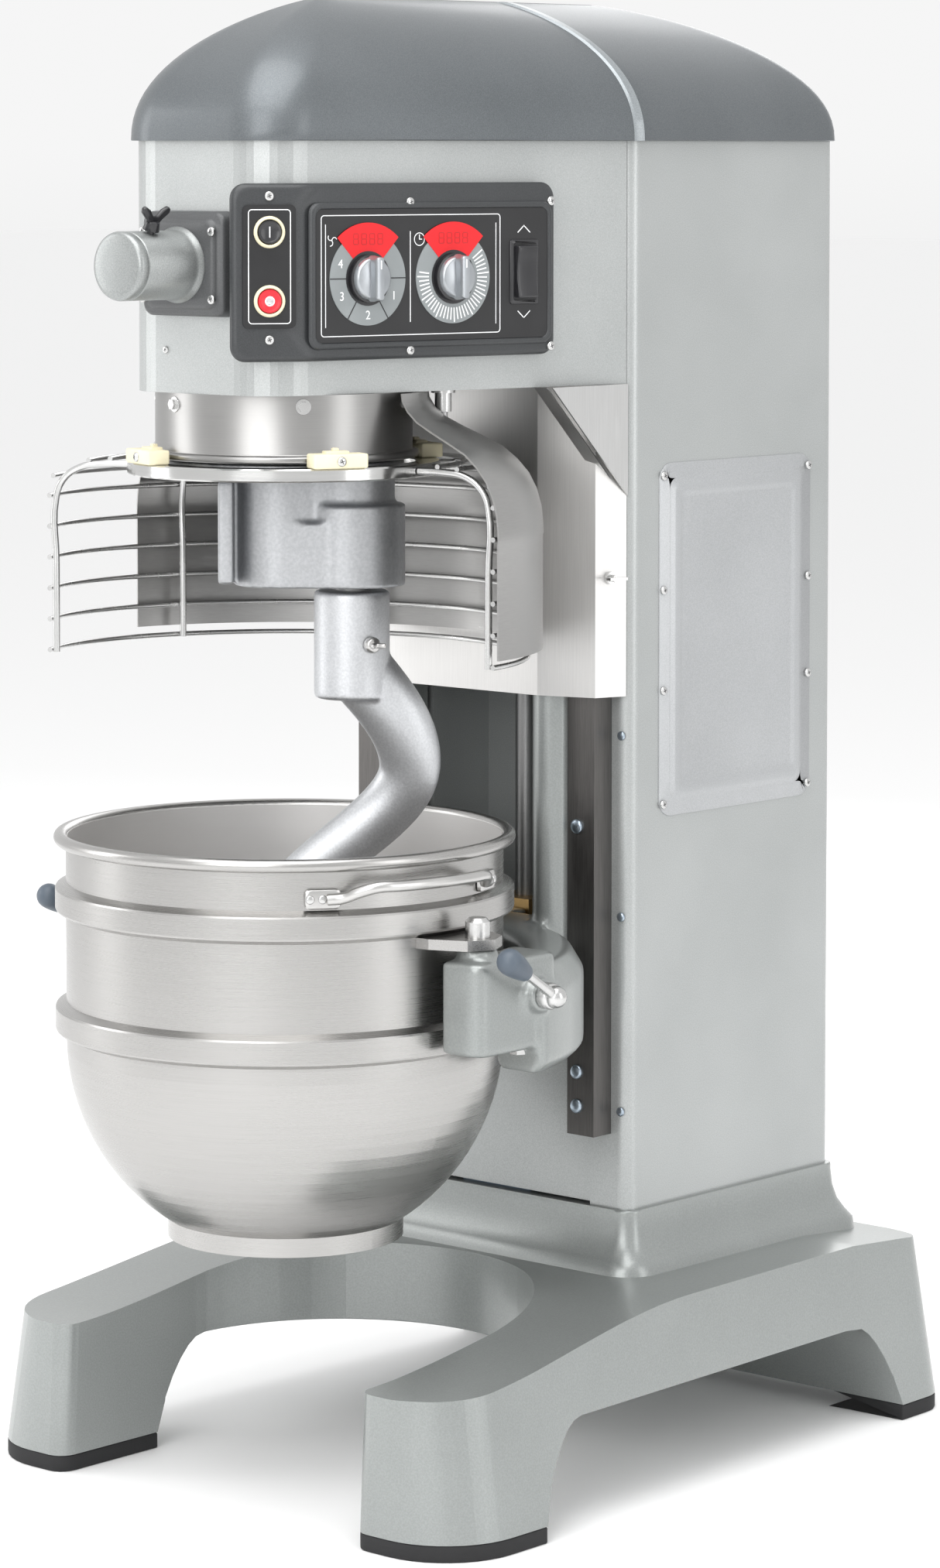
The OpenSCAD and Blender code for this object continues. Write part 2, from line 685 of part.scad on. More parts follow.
module hook_arm(rings = 26, sides = 18) {
    pts = [for (k = [0:rings]) each hook_ring(0.02 + 0.96*k/rings, sides)];
    last = rings*sides;
    polyhedron(
        points = concat(pts, [hook_at(0.02), hook_at(0.98) - [-4, 0, 12]]),
        faces = concat(
            [for (k = [0:rings - 1], i = [0:sides - 1]) let (j = (i + 1) % sides, q = k*sides)
                each [[q + i, q + sides + j, q + sides + i], [q + i, q + j, q + sides + j]]],
            [for (i = [0:sides - 1]) [len(pts), (i + 1) % sides, i]],
            [for (i = [0:sides - 1]) [last + i, last + (i + 1) % sides, len(pts) + 1]]));
}

module dough_hook() color("silver") at_bowl() at_agitator() difference() {
    union() {
        cylinder_at(0, collar_r, collar_low, collar_top);
        hook_arm();
    }
    translate([0, 0, collar_low + 17]) cylinder(h = 120, r = agitator_r, $fn = 64);
    translate([0, 0, collar_low + 60]) rotate([0, 90, -60]) cylinder(h = 60, r = 5 + run_fit,
        $fn = 32);
}

module hook_thumb_screw() color("whitesmoke") at_bowl() at_agitator()
    translate([0, 0, collar_low + 60]) rotate([0, 90, -60]) {
        translate([0, 0, agitator_r + gap]) cylinder(h = 26, r = 5, $fn = 32);
        translate([0, 0, collar_r + gap]) cylinder(h = 8, r = 9, $fn = 32);
        translate([-9, -3, collar_r + 8]) cube([18, 6, 12]);
    }

// ---- Attachment hub ----
hub_plate_t = 25;
hub_tip = hub_reach - 14;

module hub_plate() color("dimgray") at_bowl() on_wall(0, -head_front, hub_z, -90)
    difference() {
        linear_extrude(hub_plate_t) plate(-60, -54, 60, 56, 10);
        translate([0, 0, -1]) cylinder(h = 40, r = 30, $fn = 64);
    }

module hub_barrel() color("silver") at_bowl() difference() {
    on_wall(0, 0, hub_z, -90) union() {
        tube(30, hub_bore_r, head_front, head_front + hub_plate_t);
        tube(hub_r, hub_bore_r, head_front + hub_plate_t, hub_tip);
        translate([0, 0, 0]) tube(hub_r + 8, hub_bore_r, head_front + hub_plate_t,
            head_front + hub_plate_t + 7);
    }
    at_hub_screw() cylinder(h = 60, r = 4 + run_fit, $fn = 32);
}

module at_hub_screw() translate([0, -hub_tip + 24, hub_z]) rotate([0, 20, 0]) children();

module hub_thumb_screw() color("black") at_bowl() at_hub_screw() {
    translate([0, 0, hub_shaft_r + 4]) cylinder(h = 24, r = 4, $fn = 32);
    translate([0, 0, hub_r + 3]) cylinder(h = 10, r1 = 9, r2 = 7, $fn = 32);
    difference() {
        translate([-20, -3, hub_r + 10]) cube([40, 6, 20]);
        translate([0, 4, hub_r + 34]) rotate([90, 0, 0]) cylinder(h = 10, r = 12, $fn = 32);
    }
}

module hub_cap() color("silver") at_bowl() on_wall(0, 0, hub_z, -90) {
    cylinder_at(0, hub_bore_r - gap, hub_tip - 8, hub_tip + gap);
    cylinder_at(0, hub_r, hub_tip + gap, hub_reach - 6);
    translate([0, 0, hub_reach - 6]) cylinder(h = 6, r1 = hub_r, r2 = hub_r - 9, $fn = 96);
}

module hub_drive_shaft() color("dimgray") at_bowl() on_wall(0, 0, hub_z, -90) difference() {
    union() {
        cylinder_at(0, hub_shaft_r, 38, hub_tip - 12);
        translate([0, 0, 40]) mirror([0, 0, 1]) rotate(0)
            linear_extrude(16, scale = 24/40) gear_2d(20, 4, 0.75, 0.9, 0.8);
    }
    translate([-8, -8, hub_tip - 40]) cube([16, 16, 40]);
}

// ---- Controls ----
facet_a = -34;
facet_l = 80;
corner_s = 36;
corner_p = [head_nose + corner_s*sin(flare) + bezel_t*cos(flare),
    corner_s*cos(flare) - head_front - bezel_t*sin(flare)];
facet_end = corner_p + facet_l*[sin(facet_a), -cos(facet_a)];
panel_end = 366;
bezel_low = dial_z - 73 - 12;
bezel_top = dial_z + 99;

// On the slanted facet: x from its middle, out from its face
module on_facet(x, z, out = 0) {
    m = corner_p + facet_l/2*[sin(facet_a), -cos(facet_a)];
    on_wall(m[0] + x*-sin(facet_a) + out*cos(facet_a), m[1] + x*cos(facet_a)
        + out*sin(facet_a), z, facet_a) children();
}

module control_bezel() color("slategray") at_bowl() difference() {
    translate([0, 0, bezel_low]) linear_extrude(bezel_top - bezel_low) polygon([
        [head_nose + panel_end*sin(flare) - 10, panel_end*cos(flare) - head_front],
        [head_nose + panel_end*sin(flare) + (bezel_t - 5)*cos(flare),
            panel_end*cos(flare) - head_front - (bezel_t - 5)*sin(flare)],
        [head_nose + (panel_end - 5)*sin(flare) + bezel_t*cos(flare),
            (panel_end - 5)*cos(flare) - head_front - bezel_t*sin(flare)],
        corner_p, facet_end + [4, 6], facet_end + [-4, 4], [facet_end[0] - 10, -head_front],
        [facet_end[0], bend_y], [bend_x, bend_y]]);
    translate([0, 0, bezel_low - 1]) linear_extrude(300) polygon(head_plan(0, column_setback));
    // sockets behind the buttons
    for (z = [dial_z - 22, dial_z + 49]) on_facet(0, z, -14) cylinder(h = 40, r = 13, $fn = 32);
    // pocket and bearing of the rocker
    at_rocker() {
        translate([-14.5, -31, 0.7]) cube([29, 62, 10]);
        translate([-14.5, -6, -3.5]) cube([29, 12, 10]);
        rocker_pin(18, rocker_pin_r + run_fit);
    }
}

// The rocker's pivot, whose axis runs along local x
rocker_s = 320;
rocker_z = dial_z + 4;
rocker_axis_in = 5.7;    // depth of the axis below the bezel's face
rocker_pin_r = 2.5;

module at_rocker() on_head_side(rocker_s, rocker_z, bezel_t - rocker_axis_in) children();

module rocker_pin(half, r) translate([-half, 0, 0]) rotate([0, 90, 0])
    cylinder(h = 2*half, r = r, $fn = 32);

module control_fascia() color("black") at_bowl() difference() {
    on_head_side(0, dial_z, bezel_t) linear_extrude(2) plate(46, -66, 352, 72, 6);
    on_head_side(rocker_s, rocker_z, bezel_t - 1) translate([-15, -31, 0]) cube([30, 62, 9]);
}

module start_stop_plate() color("black") at_bowl() difference() {
    on_facet(0, dial_z + 12) linear_extrude(2) plate(-28, -62, 28, 65, 6);
    for (z = [dial_z - 22, dial_z + 49]) on_facet(0, z, -2) cylinder(h = 6, r = 13, $fn = 32);
}

module dial_faces() color("lightgray") at_bowl() for (s = [112, 224])
    on_head_side(s, dial_z, bezel_t + 2) cylinder(h = 1, r = dial_r, $fn = 96);

module knob() {
    cylinder(h = 5, r = knob_r, $fn = 64);
    translate([0, 0, 5]) cylinder(h = 7, r1 = knob_r - 2, r2 = knob_r - 4, $fn = 64);
    translate([-6, -knob_r + 1, 8]) cube([12, 2*knob_r - 2, 15]);
}

module speed_knob() color("silver") at_bowl() on_head_side(112, dial_z, bezel_t + 3 + gap) knob();

module timer_knob() color("silver") at_bowl() on_head_side(224, dial_z, bezel_t + 3 + gap) knob();

module push_button(z) on_facet(0, z, -button_travel - 4) {
    cylinder(h = button_travel + 9, r = 13 - gap, $fn = 48);
}

module start_button() color("black") at_bowl() push_button(dial_z + 49);

module stop_button() color("red") at_bowl() push_button(dial_z - 22);

module lift_rocker() color("black") at_bowl() at_rocker() {
    translate([0, 0, rocker_axis_in + gap]) intersection() {
        translate([-14, -28, 0]) cube([28, 56, 16]);
        translate([-15, 0, -72]) rotate([0, 90, 0]) cylinder(h = 30, r = 84, $fn = 96);
    }
    translate([-13, -3, 0]) cube([26, 6, rocker_axis_in + 1]);
    rocker_pin(17, rocker_pin_r);
}

// ---- Bowl support and lift ----
yoke_in = bowl_r + bowl_wall + band_t + 9.4;    // inside of the arms, clear of the bands
yoke_low = 478;
yoke_top = 591;
block_low = 506;
block_top = 604;

module yoke_arm() intersection() {
    translate([0, 0, yoke_low]) rotate_extrude($fn = 128)
        translate([yoke_in, 0]) polygon([[0, 6], [6, 0], [52, 0], [65, 12], [65, 88], [50, 113],
            [10, 113], [0, 106]]);
    block(-400, 60, yoke_low - 5, 400, 400, yoke_top + 5);
}

module end_block() {
    translate([0, 0, block_low]) linear_extrude(block_top - block_low)
        plate(pin_x - 37, -32, pin_x + 31, 96, 16);
    translate([pin_x, 0, block_top - 1]) cylinder(h = ear_low - gap - block_top + 1, r = 21,
        $fn = 64);
    translate([clamp_x - 30, clamp_y, clamp_z]) rotate([0, 90, 0])
        cylinder(h = 24, r = 18, $fn = 64);
}

module bowl_support() color("silver") at_bowl() difference() {
    union() {
        yoke_arm();
        pair() {
            end_block();
            block(channel_half + 2, saddle_y + 16, saddle_low, slide_in - gap,
                column_setback - 0.5, saddle_top);
            translate([channel_half + 24, saddle_y + 20, saddle_low])
                cylinder(h = saddle_top - saddle_low, r = 20, $fn = 64);
        }
        block(-channel_half - 3, saddle_y + 6, yoke_low, channel_half + 3, column_setback - 0.5,
            yoke_top);
        block(-channel_half - 3, saddle_y + 16, saddle_top - 30, channel_half + 3,
            column_setback - 0.5, saddle_top);
        block(-28, column_setback - 10, 530, 28, screw_y - 30, 590);
    }
    translate([0, 0, saddle_low - 5]) cylinder(h = 500, r = yoke_in, $fn = 128);
}

module bowl_pins() color("gainsboro") at_bowl() pair() translate([pin_x, 0, ear_low - gap]) {
    cylinder(h = ear_top - ear_low + 12, r = pin_r, $fn = 48);
    translate([0, 0, ear_top - ear_low + 12]) cylinder(h = 4, r1 = pin_r, r2 = pin_r - 4, $fn = 48);
}

module lift_nut() color("goldenrod") at_bowl() difference() {
    block(-30, screw_y - 30, 520, 30, screw_y + 30, 600);
    translate([0, screw_y, 500]) cylinder(h = 120, r = screw_r + run_fit, $fn = 48);
}

module lift_screw() color("silver") at_bowl() translate([0, screw_y, plinth_z + 172])
    cylinder(h = channel_top + 20 - plinth_z - 172, r = screw_r, $fn = 48);

module lift_motor() color("steelblue") at_bowl() translate([0, screw_y, plinth_z]) {
    translate([-50, -50, 0]) cube([100, 100, 10]);
    cylinder(h = 150, r = 45, $fn = 64);
    difference() {
        cylinder(h = 171, r = 24, $fn = 64);
        translate([0, 0, 165]) cylinder(h = 10, r = screw_r + 2, $fn = 64);
    }
}

clamp_x = pin_x + 51;
clamp_y = 54;
clamp_z = 564.5;
knob_dy = -52;
knob_dz = 31;

module clamp_lever() translate([clamp_x, clamp_y, clamp_z]) {
    translate([-6 + gap, 0, 0]) rotate([0, 90, 0]) cylinder(h = 12, r = 14, $fn = 48);
    translate([9, 0, 0]) sphere(12, $fn = 48);
    rod([9, 0, 0], [14, knob_dy, knob_dz], 5);
    translate([14, knob_dy, knob_dz]) rotate([90 - 31, 0, 0]) {
        cylinder(h = 30, r1 = 9, r2 = 14, $fn = 48);
        translate([0, 0, 30]) sphere(14, $fn = 48);
    }
}

module clamp_lever_right() color("slategray") at_bowl() clamp_lever();

module clamp_lever_left() color("slategray") at_bowl() mirror([1, 0, 0]) clamp_lever();

// ---- Bowl ----
bowl_out = bowl_r + bowl_wall;
bowl_floor = rim_z - bowl_depth;
dome_z = bowl_floor + 209;

// Outline of the bowl's wall at radius r, from the floor's edge up to the straight side
function dome(r) = let (a0 = asin(max(-1, (bowl_floor - dome_z - (r - bowl_r))/r)))
    arc(0, dome_z, r, a0, 0, 18);

module bowl() color("gainsboro") at_bowl() rotate_extrude($fn = 128) {
    polygon(concat([[0, bowl_floor - bowl_wall]], dome(bowl_out),
        [[bowl_out, rim_z - 6], [bowl_r, rim_z - 6]],
        [for (i = [18:-1:0]) dome(bowl_r)[i]], [[0, bowl_floor]]));
    translate([bowl_out + rim_bead - 1, rim_z - rim_bead]) circle(rim_bead, $fn = 32);
}

// Section of one band: a flat face with sloped edges
module band(z0, z1) translate([bowl_out, 0]) polygon([[0, z0 - 5], [band_t - 1, z0],
    [band_t, z0 + 2], [band_t, z1 - 2], [band_t - 1, z1], [0, z1 + 5]]);

module bowl_bands() color("gainsboro") at_bowl() {
    rotate_extrude($fn = 128) band(ear_top, ear_top + 25);
    rotate_extrude($fn = 128) band(503, 529);
    difference() {
        tube(126.5, 121, bowl_floor - 8, dome_z - 185);
        translate([0, 0, dome_z]) sphere(bowl_out, $fn = 96);
        cylinder_at(0, 124, bowl_floor - bowl_wall, bowl_floor + 30);
    }
}

module bowl_ears() color("gainsboro") at_bowl() pair() difference() {
    translate([0, 0, ear_low]) linear_extrude(ear_top - ear_low - 5) polygon([
        [bowl_out - 14, -46], [bowl_out + 12, -44], [pin_x + 10, -27], [pin_x + 24, 0],
        [pin_x + 10, 27], [bowl_out + 12, 44], [bowl_out - 14, 46]]);
    cylinder_at(0, bowl_out, ear_low - 5, ear_top + 5);
    cylinder_at(pin_x, pin_r + 0.5, ear_low - 5, ear_top + 5);
}

handle_z = 688;
handle_r = bowl_out + 31;

module handle() {
    rotate([0, 0, -29]) rotate_extrude(angle = 38, $fn = 96) translate([handle_r, handle_z])
        circle(6, $fn = 24);
    for (e = [[-29, -37], [9, 17]]) {
        a = [handle_r*cos(e[0]), handle_r*sin(e[0]), handle_z];
        b = [(bowl_out + 6)*cos(e[1]), (bowl_out + 6)*sin(e[1]), handle_z - 14];
        translate(a) sphere(6.6, $fn = 32);
        rod(a, b, 6);
        rotate(e[1]) translate([bowl_out + 1, -19, handle_z - 26]) cube([4, 38, 24]);
    }
}

module bowl_handles() color("gainsboro") at_bowl() difference() {
    for (a = [0, 180]) rotate(a) handle();
    cylinder_at(0, bowl_out, handle_z - 60, handle_z + 60);
}

// ---- Back ----
module cable_gland() color("dimgray") at_bowl() on_wall(0, column_back + 3, rear_z0 + 40, 90) {
    cylinder(h = 6, r = 19, $fn = 48);
    cylinder(h = 22, r = 15, $fn = 48);
    translate([0, 0, 22]) cylinder(h = 10, r1 = 15, r2 = 10, $fn = 48);
}

base_casting();
foot_pads();
column_shell();
rear_cover();
side_access_panels();
panel_screws();
column_front_cover();
slideways();
slideway_bolts();
column_shroud();
shroud_screws();
head_shell();
head_gussets();
hood();
gear_case();
planetary_drum();
ring_gear();
hub_plate();
hub_barrel();
control_bezel();
control_fascia();
start_stop_plate();
dial_faces();
splash_shield();
interlock_switch();
drive_motor();
lift_motor();
cable_gland();
shaft_bearings();
guard_ring();
guard_wires();
guard_guides();
planetary_head();
planetary_gear();
agitator_bearings();
agitator_shaft();
agitator_pinion();
dough_hook();
hook_thumb_screw();
countershaft_gears();
motor_pinion();
hub_drive_shaft();
hub_cap();
hub_thumb_screw();
speed_knob();
timer_knob();
start_button();
stop_button();
lift_rocker();
interlock_plunger();
bowl_support();
bowl_pins();
lift_nut();
lift_screw();
clamp_lever_right();
clamp_lever_left();
bowl();
bowl_bands();
bowl_ears();
bowl_handles();
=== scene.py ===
import json
import math

import bmesh
import bpy
from mathutils import Matrix, Vector


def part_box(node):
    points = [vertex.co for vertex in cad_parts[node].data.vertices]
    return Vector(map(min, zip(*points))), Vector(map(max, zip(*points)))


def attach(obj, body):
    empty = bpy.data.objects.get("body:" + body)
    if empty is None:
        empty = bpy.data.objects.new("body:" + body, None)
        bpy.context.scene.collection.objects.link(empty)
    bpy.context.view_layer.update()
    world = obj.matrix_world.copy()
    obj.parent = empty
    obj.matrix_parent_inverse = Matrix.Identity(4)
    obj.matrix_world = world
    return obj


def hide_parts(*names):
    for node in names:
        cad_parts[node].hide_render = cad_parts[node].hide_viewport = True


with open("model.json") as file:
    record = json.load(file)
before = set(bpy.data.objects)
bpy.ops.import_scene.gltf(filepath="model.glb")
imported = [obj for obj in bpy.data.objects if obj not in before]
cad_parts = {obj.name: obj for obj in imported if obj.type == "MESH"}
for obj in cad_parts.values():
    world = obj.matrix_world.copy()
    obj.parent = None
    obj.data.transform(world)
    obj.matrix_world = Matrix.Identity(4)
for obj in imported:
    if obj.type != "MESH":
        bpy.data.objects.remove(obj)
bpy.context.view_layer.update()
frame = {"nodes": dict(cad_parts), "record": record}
nodes = frame["nodes"]
bodyMembers = frame["record"]["behaviour"]["bodies"]
nodeBody = {name: body for body, members in bodyMembers.items() for name in members}
print("frame loaded:", len(nodes), "nodes")

mm = 0.001
bowlLo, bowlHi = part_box("bowl")
axisY = (bowlLo.y + bowlHi.y) / 2   # the bowl's upright axis stands at x = 0, y = axisY


def newMesh():
    return bmesh.new()


def finishPiece(name, bm, material, body, stands=(), smooth=38, weighted=False, subdiv=0):
    # turns a bmesh into a piece that rides on a body and may stand for CAD nodes
    bmesh.ops.remove_doubles(bm, verts=bm.verts, dist=0.00001)
    bmesh.ops.recalc_face_normals(bm, faces=bm.faces)
    mesh = bpy.data.meshes.new(name)
    bm.to_mesh(mesh)
    bm.free()
    return addObject(name, mesh, material, body, stands, smooth, weighted, subdiv)


def addObject(name, mesh, material, body, stands=(), smooth=38, weighted=False, subdiv=0):
    mesh.polygons.foreach_set("use_smooth", [True] * len(mesh.polygons))
    mesh.set_sharp_from_angle(angle=math.radians(smooth))
    mesh.materials.append(material)
    piece = bpy.data.objects.new(name, mesh)
    bpy.context.scene.collection.objects.link(piece)
    if subdiv:
        sub = piece.modifiers.new("Subdivision", "SUBSURF")
        sub.levels = sub.render_levels = subdiv
    if weighted:
        piece.modifiers.new("Weighted Normal", "WEIGHTED_NORMAL").keep_sharp = True
    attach(piece, body)
    if stands:
        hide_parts(*stands)
    return piece


def everything(bm):
    return bm.verts[:] + bm.edges[:] + bm.faces[:]


def move(bm, verts, matrix):
    bmesh.ops.transform(bm, matrix=matrix, verts=verts)


def bevelEdges(bm, edges, width, segments=3):
    return bmesh.ops.bevel(bm, geom=edges, offset=width, offset_type="OFFSET", affect="EDGES",
                           segments=segments, profile=0.5, material=-1, clamp_overlap=True)


def sharpEdges(bm, angle=35, verts=None):
    chosen = set(verts) if verts is not None else None
    found = []
    for edge in bm.edges:
        if len(edge.link_faces) == 2 and edge.calc_face_angle(0) > math.radians(angle):
            if chosen is None or (edge.verts[0] in chosen and edge.verts[1] in chosen):
                found.append(edge)
    return found


def addPrism(bm, outline, low, high, place=Matrix.Identity(4)):
    # a flat outline pushed from low to high along local z
    start = [bm.verts.new((x, y, low)) for x, y in outline]
    face = bm.faces.new(start)
    made = bmesh.ops.extrude_face_region(bm, geom=[face])["geom"]
    top = [v for v in made if isinstance(v, bmesh.types.BMVert)]
    bmesh.ops.translate(bm, vec=(0, 0, high - low), verts=top)
    verts = start + top
    move(bm, verts, place)
    return verts


def addBox(bm, lo, hi, bevel=0, segments=2, place=Matrix.Identity(4)):
    size = Vector(hi) - Vector(lo)
    centre = (Vector(hi) + Vector(lo)) / 2
    made = bmesh.ops.create_cube(bm, size=1,
                                 matrix=Matrix.Translation(centre) @ Matrix.Diagonal((*size, 1)))
    verts = made["verts"]
    if bevel:
        edges = list({e for v in verts for e in v.link_edges})
        verts = bevelEdges(bm, edges, bevel, segments)["verts"] + [v for v in verts if v.is_valid]
    verts = [v for v in set(verts) if v.is_valid]
    move(bm, verts, place)
    return verts


def spinProfile(bm, profile, place=Matrix.Identity(4), steps=64, angle=360, start=0):
    # turns (radius, height) points about local z
    turn = Matrix.Rotation(math.radians(start), 4, "Z")
    verts = [bm.verts.new(turn @ Vector((r, 0, z))) for r, z in profile]
    edges = [bm.edges.new((a, b)) for a, b in zip(verts, verts[1:])]
    full = angle == 360
    made = bmesh.ops.spin(bm, geom=verts + edges, cent=(0, 0, 0), axis=(0, 0, 1), dvec=(0, 0, 0),
                          angle=math.radians(angle), steps=steps, use_merge=full, use_normal_flip=False,
                          use_duplicate=False)
    new = set(verts)
    reach = list(verts)
    while reach:   # everything joined to the profile
        for edge in reach.pop().link_edges:
            for v in edge.verts:
                if v not in new:
                    new.add(v)
                    reach.append(v)
    move(bm, list(new), place)
    return list(new)


def arcPoints(cx, cy, r, a0, a1, n):
    step = math.radians(a1 - a0) / n
    first = math.radians(a0)
    return [(cx + r * math.cos(first + step * i), cy + r * math.sin(first + step * i))
            for i in range(n + 1)]


def roundedRect(x0, y0, x1, y1, r, n=6):
    return (arcPoints(x1 - r, y0 + r, r, -90, 0, n) + arcPoints(x1 - r, y1 - r, r, 0, 90, n)
            + arcPoints(x0 + r, y1 - r, r, 90, 180, n) + arcPoints(x0 + r, y0 + r, r, 180, 270, n))


def tubeAlong(name, points, radius, cyclic=False, resolution=6, handles="AUTO", steps=8):
    # a round wire along points, as a mesh
    curve = bpy.data.curves.new(name, "CURVE")
    curve.dimensions = "3D"
    curve.bevel_depth = radius
    curve.bevel_resolution = resolution
    curve.resolution_u = steps
    curve.use_fill_caps = True
    spline = curve.splines.new("BEZIER")
    spline.bezier_points.add(len(points) - 1)
    for bp, p in zip(spline.bezier_points, points):
        bp.co = p
        bp.handle_left_type = bp.handle_right_type = handles
    spline.use_cyclic_u = cyclic
    holder = bpy.data.objects.new(name, curve)
    bpy.context.scene.collection.objects.link(holder)
    bpy.context.view_layer.update()
    mesh = bpy.data.meshes.new_from_object(holder.evaluated_get(bpy.context.evaluated_depsgraph_get()))
    bpy.data.objects.remove(holder)
    bpy.data.curves.remove(curve)
    return mesh


def addMesh(bm, mesh):
    before = set(bm.verts)
    bm.from_mesh(mesh)
    bpy.data.meshes.remove(mesh)
    return [v for v in bm.verts if v not in before]


def loftRings(bm, rings, capStart=True, capEnd=True):
    # joins closed rings of points, one after the other
    loops = []
    for ring in rings:
        verts = [bm.verts.new(p) for p in ring]
        edges = [bm.edges.new((verts[i - 1], verts[i])) for i in range(len(verts))]
        loops.append((verts, edges))
    for a, b in zip(loops, loops[1:]):
        bmesh.ops.bridge_loops(bm, edges=a[1] + b[1])
    if capStart:
        bm.faces.new(loops[0][0])
    if capEnd:
        bm.faces.new(loops[-1][0])
    return [v for verts, edges in loops for v in verts]


def cutPocket(bm, lo, hi, place):
    # takes a box out of a closed piece
    made = []
    tool = newMesh()
    addBox(tool, lo, hi, place=place)
    for part in (bm, tool):
        bmesh.ops.recalc_face_normals(part, faces=part.faces)
        mesh = bpy.data.meshes.new("pocket_work")
        part.to_mesh(mesh)
        part.free()
        made.append(bpy.data.objects.new("pocket_work", mesh))
        bpy.context.scene.collection.objects.link(made[-1])
    cut = made[0].modifiers.new("Boolean", "BOOLEAN")
    cut.operation = "DIFFERENCE"
    cut.solver = "EXACT"
    cut.object = made[1]
    bpy.context.view_layer.update()
    mesh = bpy.data.meshes.new_from_object(made[0].evaluated_get(bpy.context.evaluated_depsgraph_get()))
    for holder in made:
        bpy.data.objects.remove(holder)
    out = newMesh()
    addMesh(out, mesh)
    return out


def frameAt(origin, out, up=(0, 0, 1)):
    # local z along out, local y up: a seat on a wall
    z = Vector(out).normalized()
    x = Vector(up).cross(z).normalized()
    y = z.cross(x)
    m = Matrix((x, y, z)).transposed().to_4x4()
    m.translation = Vector(origin)
    return m


def newGroup(name, inputs, outputs):
    group = bpy.data.node_groups.new(name, "ShaderNodeTree")
    for label, kind, default in inputs:
        socket = group.interface.new_socket(label, in_out="INPUT", socket_type=kind)
        if default is not None:
            socket.default_value = default
    for label, kind in outputs:
        group.interface.new_socket(label, in_out="OUTPUT", socket_type=kind)
    return group, group.nodes.new("NodeGroupInput"), group.nodes.new("NodeGroupOutput")


def mathNode(tree, operation, a, b=None):
    node = tree.nodes.new("ShaderNodeMath")
    node.operation = operation
    for i, value in enumerate((a, b)):
        if value is None:
            continue
        if isinstance(value, (int, float)):
            node.inputs[i].default_value = value
        else:
            tree.links.new(value, node.inputs[i])
    return node.outputs[0]


def noiseNode(tree, vector, scale, detail=3.0, rough=0.5):
    node = tree.nodes.new("ShaderNodeTexNoise")
    node.inputs["Scale"].default_value = scale
    node.inputs["Detail"].default_value = detail
    node.inputs["Roughness"].default_value = rough
    tree.links.new(vector, node.inputs["Vector"])
    return node.outputs["Fac"]


def rangeNode(tree, value, low, high, fromLow=0.0, fromHigh=1.0):
    node = tree.nodes.new("ShaderNodeMapRange")
    tree.links.new(value, node.inputs["Value"])
    for label, v in (("From Min", fromLow), ("From Max", fromHigh), ("To Min", low), ("To Max", high)):
        if isinstance(v, (int, float)):
            node.inputs[label].default_value = v
        else:
            tree.links.new(v, node.inputs[label])
    return node.outputs["Result"]


def makeSpeckleGroup():
    # mottled value for paint and castings: broad clouds plus fine grain
    group, enter, leave = newGroup("speckle", [("Vector", "NodeSocketVector", None),
        ("Cloud", "NodeSocketFloat", 6.0), ("Grain", "NodeSocketFloat", 900.0)],
        [("Cloud", "NodeSocketFloat"), ("Grain", "NodeSocketFloat")])
    for label in ("Cloud", "Grain"):
        noise = group.nodes.new("ShaderNodeTexNoise")
        noise.inputs["Detail"].default_value = 4.0 if label == "Cloud" else 2.0
        group.links.new(enter.outputs["Vector"], noise.inputs["Vector"])
        group.links.new(enter.outputs[label], noise.inputs["Scale"])
        group.links.new(noise.outputs["Fac"], leave.inputs[label])
    return group


def makeStreakGroup():
    # brushing: noise stretched along one way by the Stretch vector
    group, enter, leave = newGroup("brushing", [("Vector", "NodeSocketVector", None),
        ("Stretch", "NodeSocketVector", (1.0, 1.0, 1.0))], [("Streak", "NodeSocketFloat")])
    scale = group.nodes.new("ShaderNodeVectorMath")
    scale.operation = "MULTIPLY"
    group.links.new(enter.outputs["Vector"], scale.inputs[0])
    group.links.new(enter.outputs["Stretch"], scale.inputs[1])
    fine = noiseNode(group, scale.outputs[0], 1.0, 5.0, 0.65)
    group.links.new(fine, leave.inputs["Streak"])
    return group


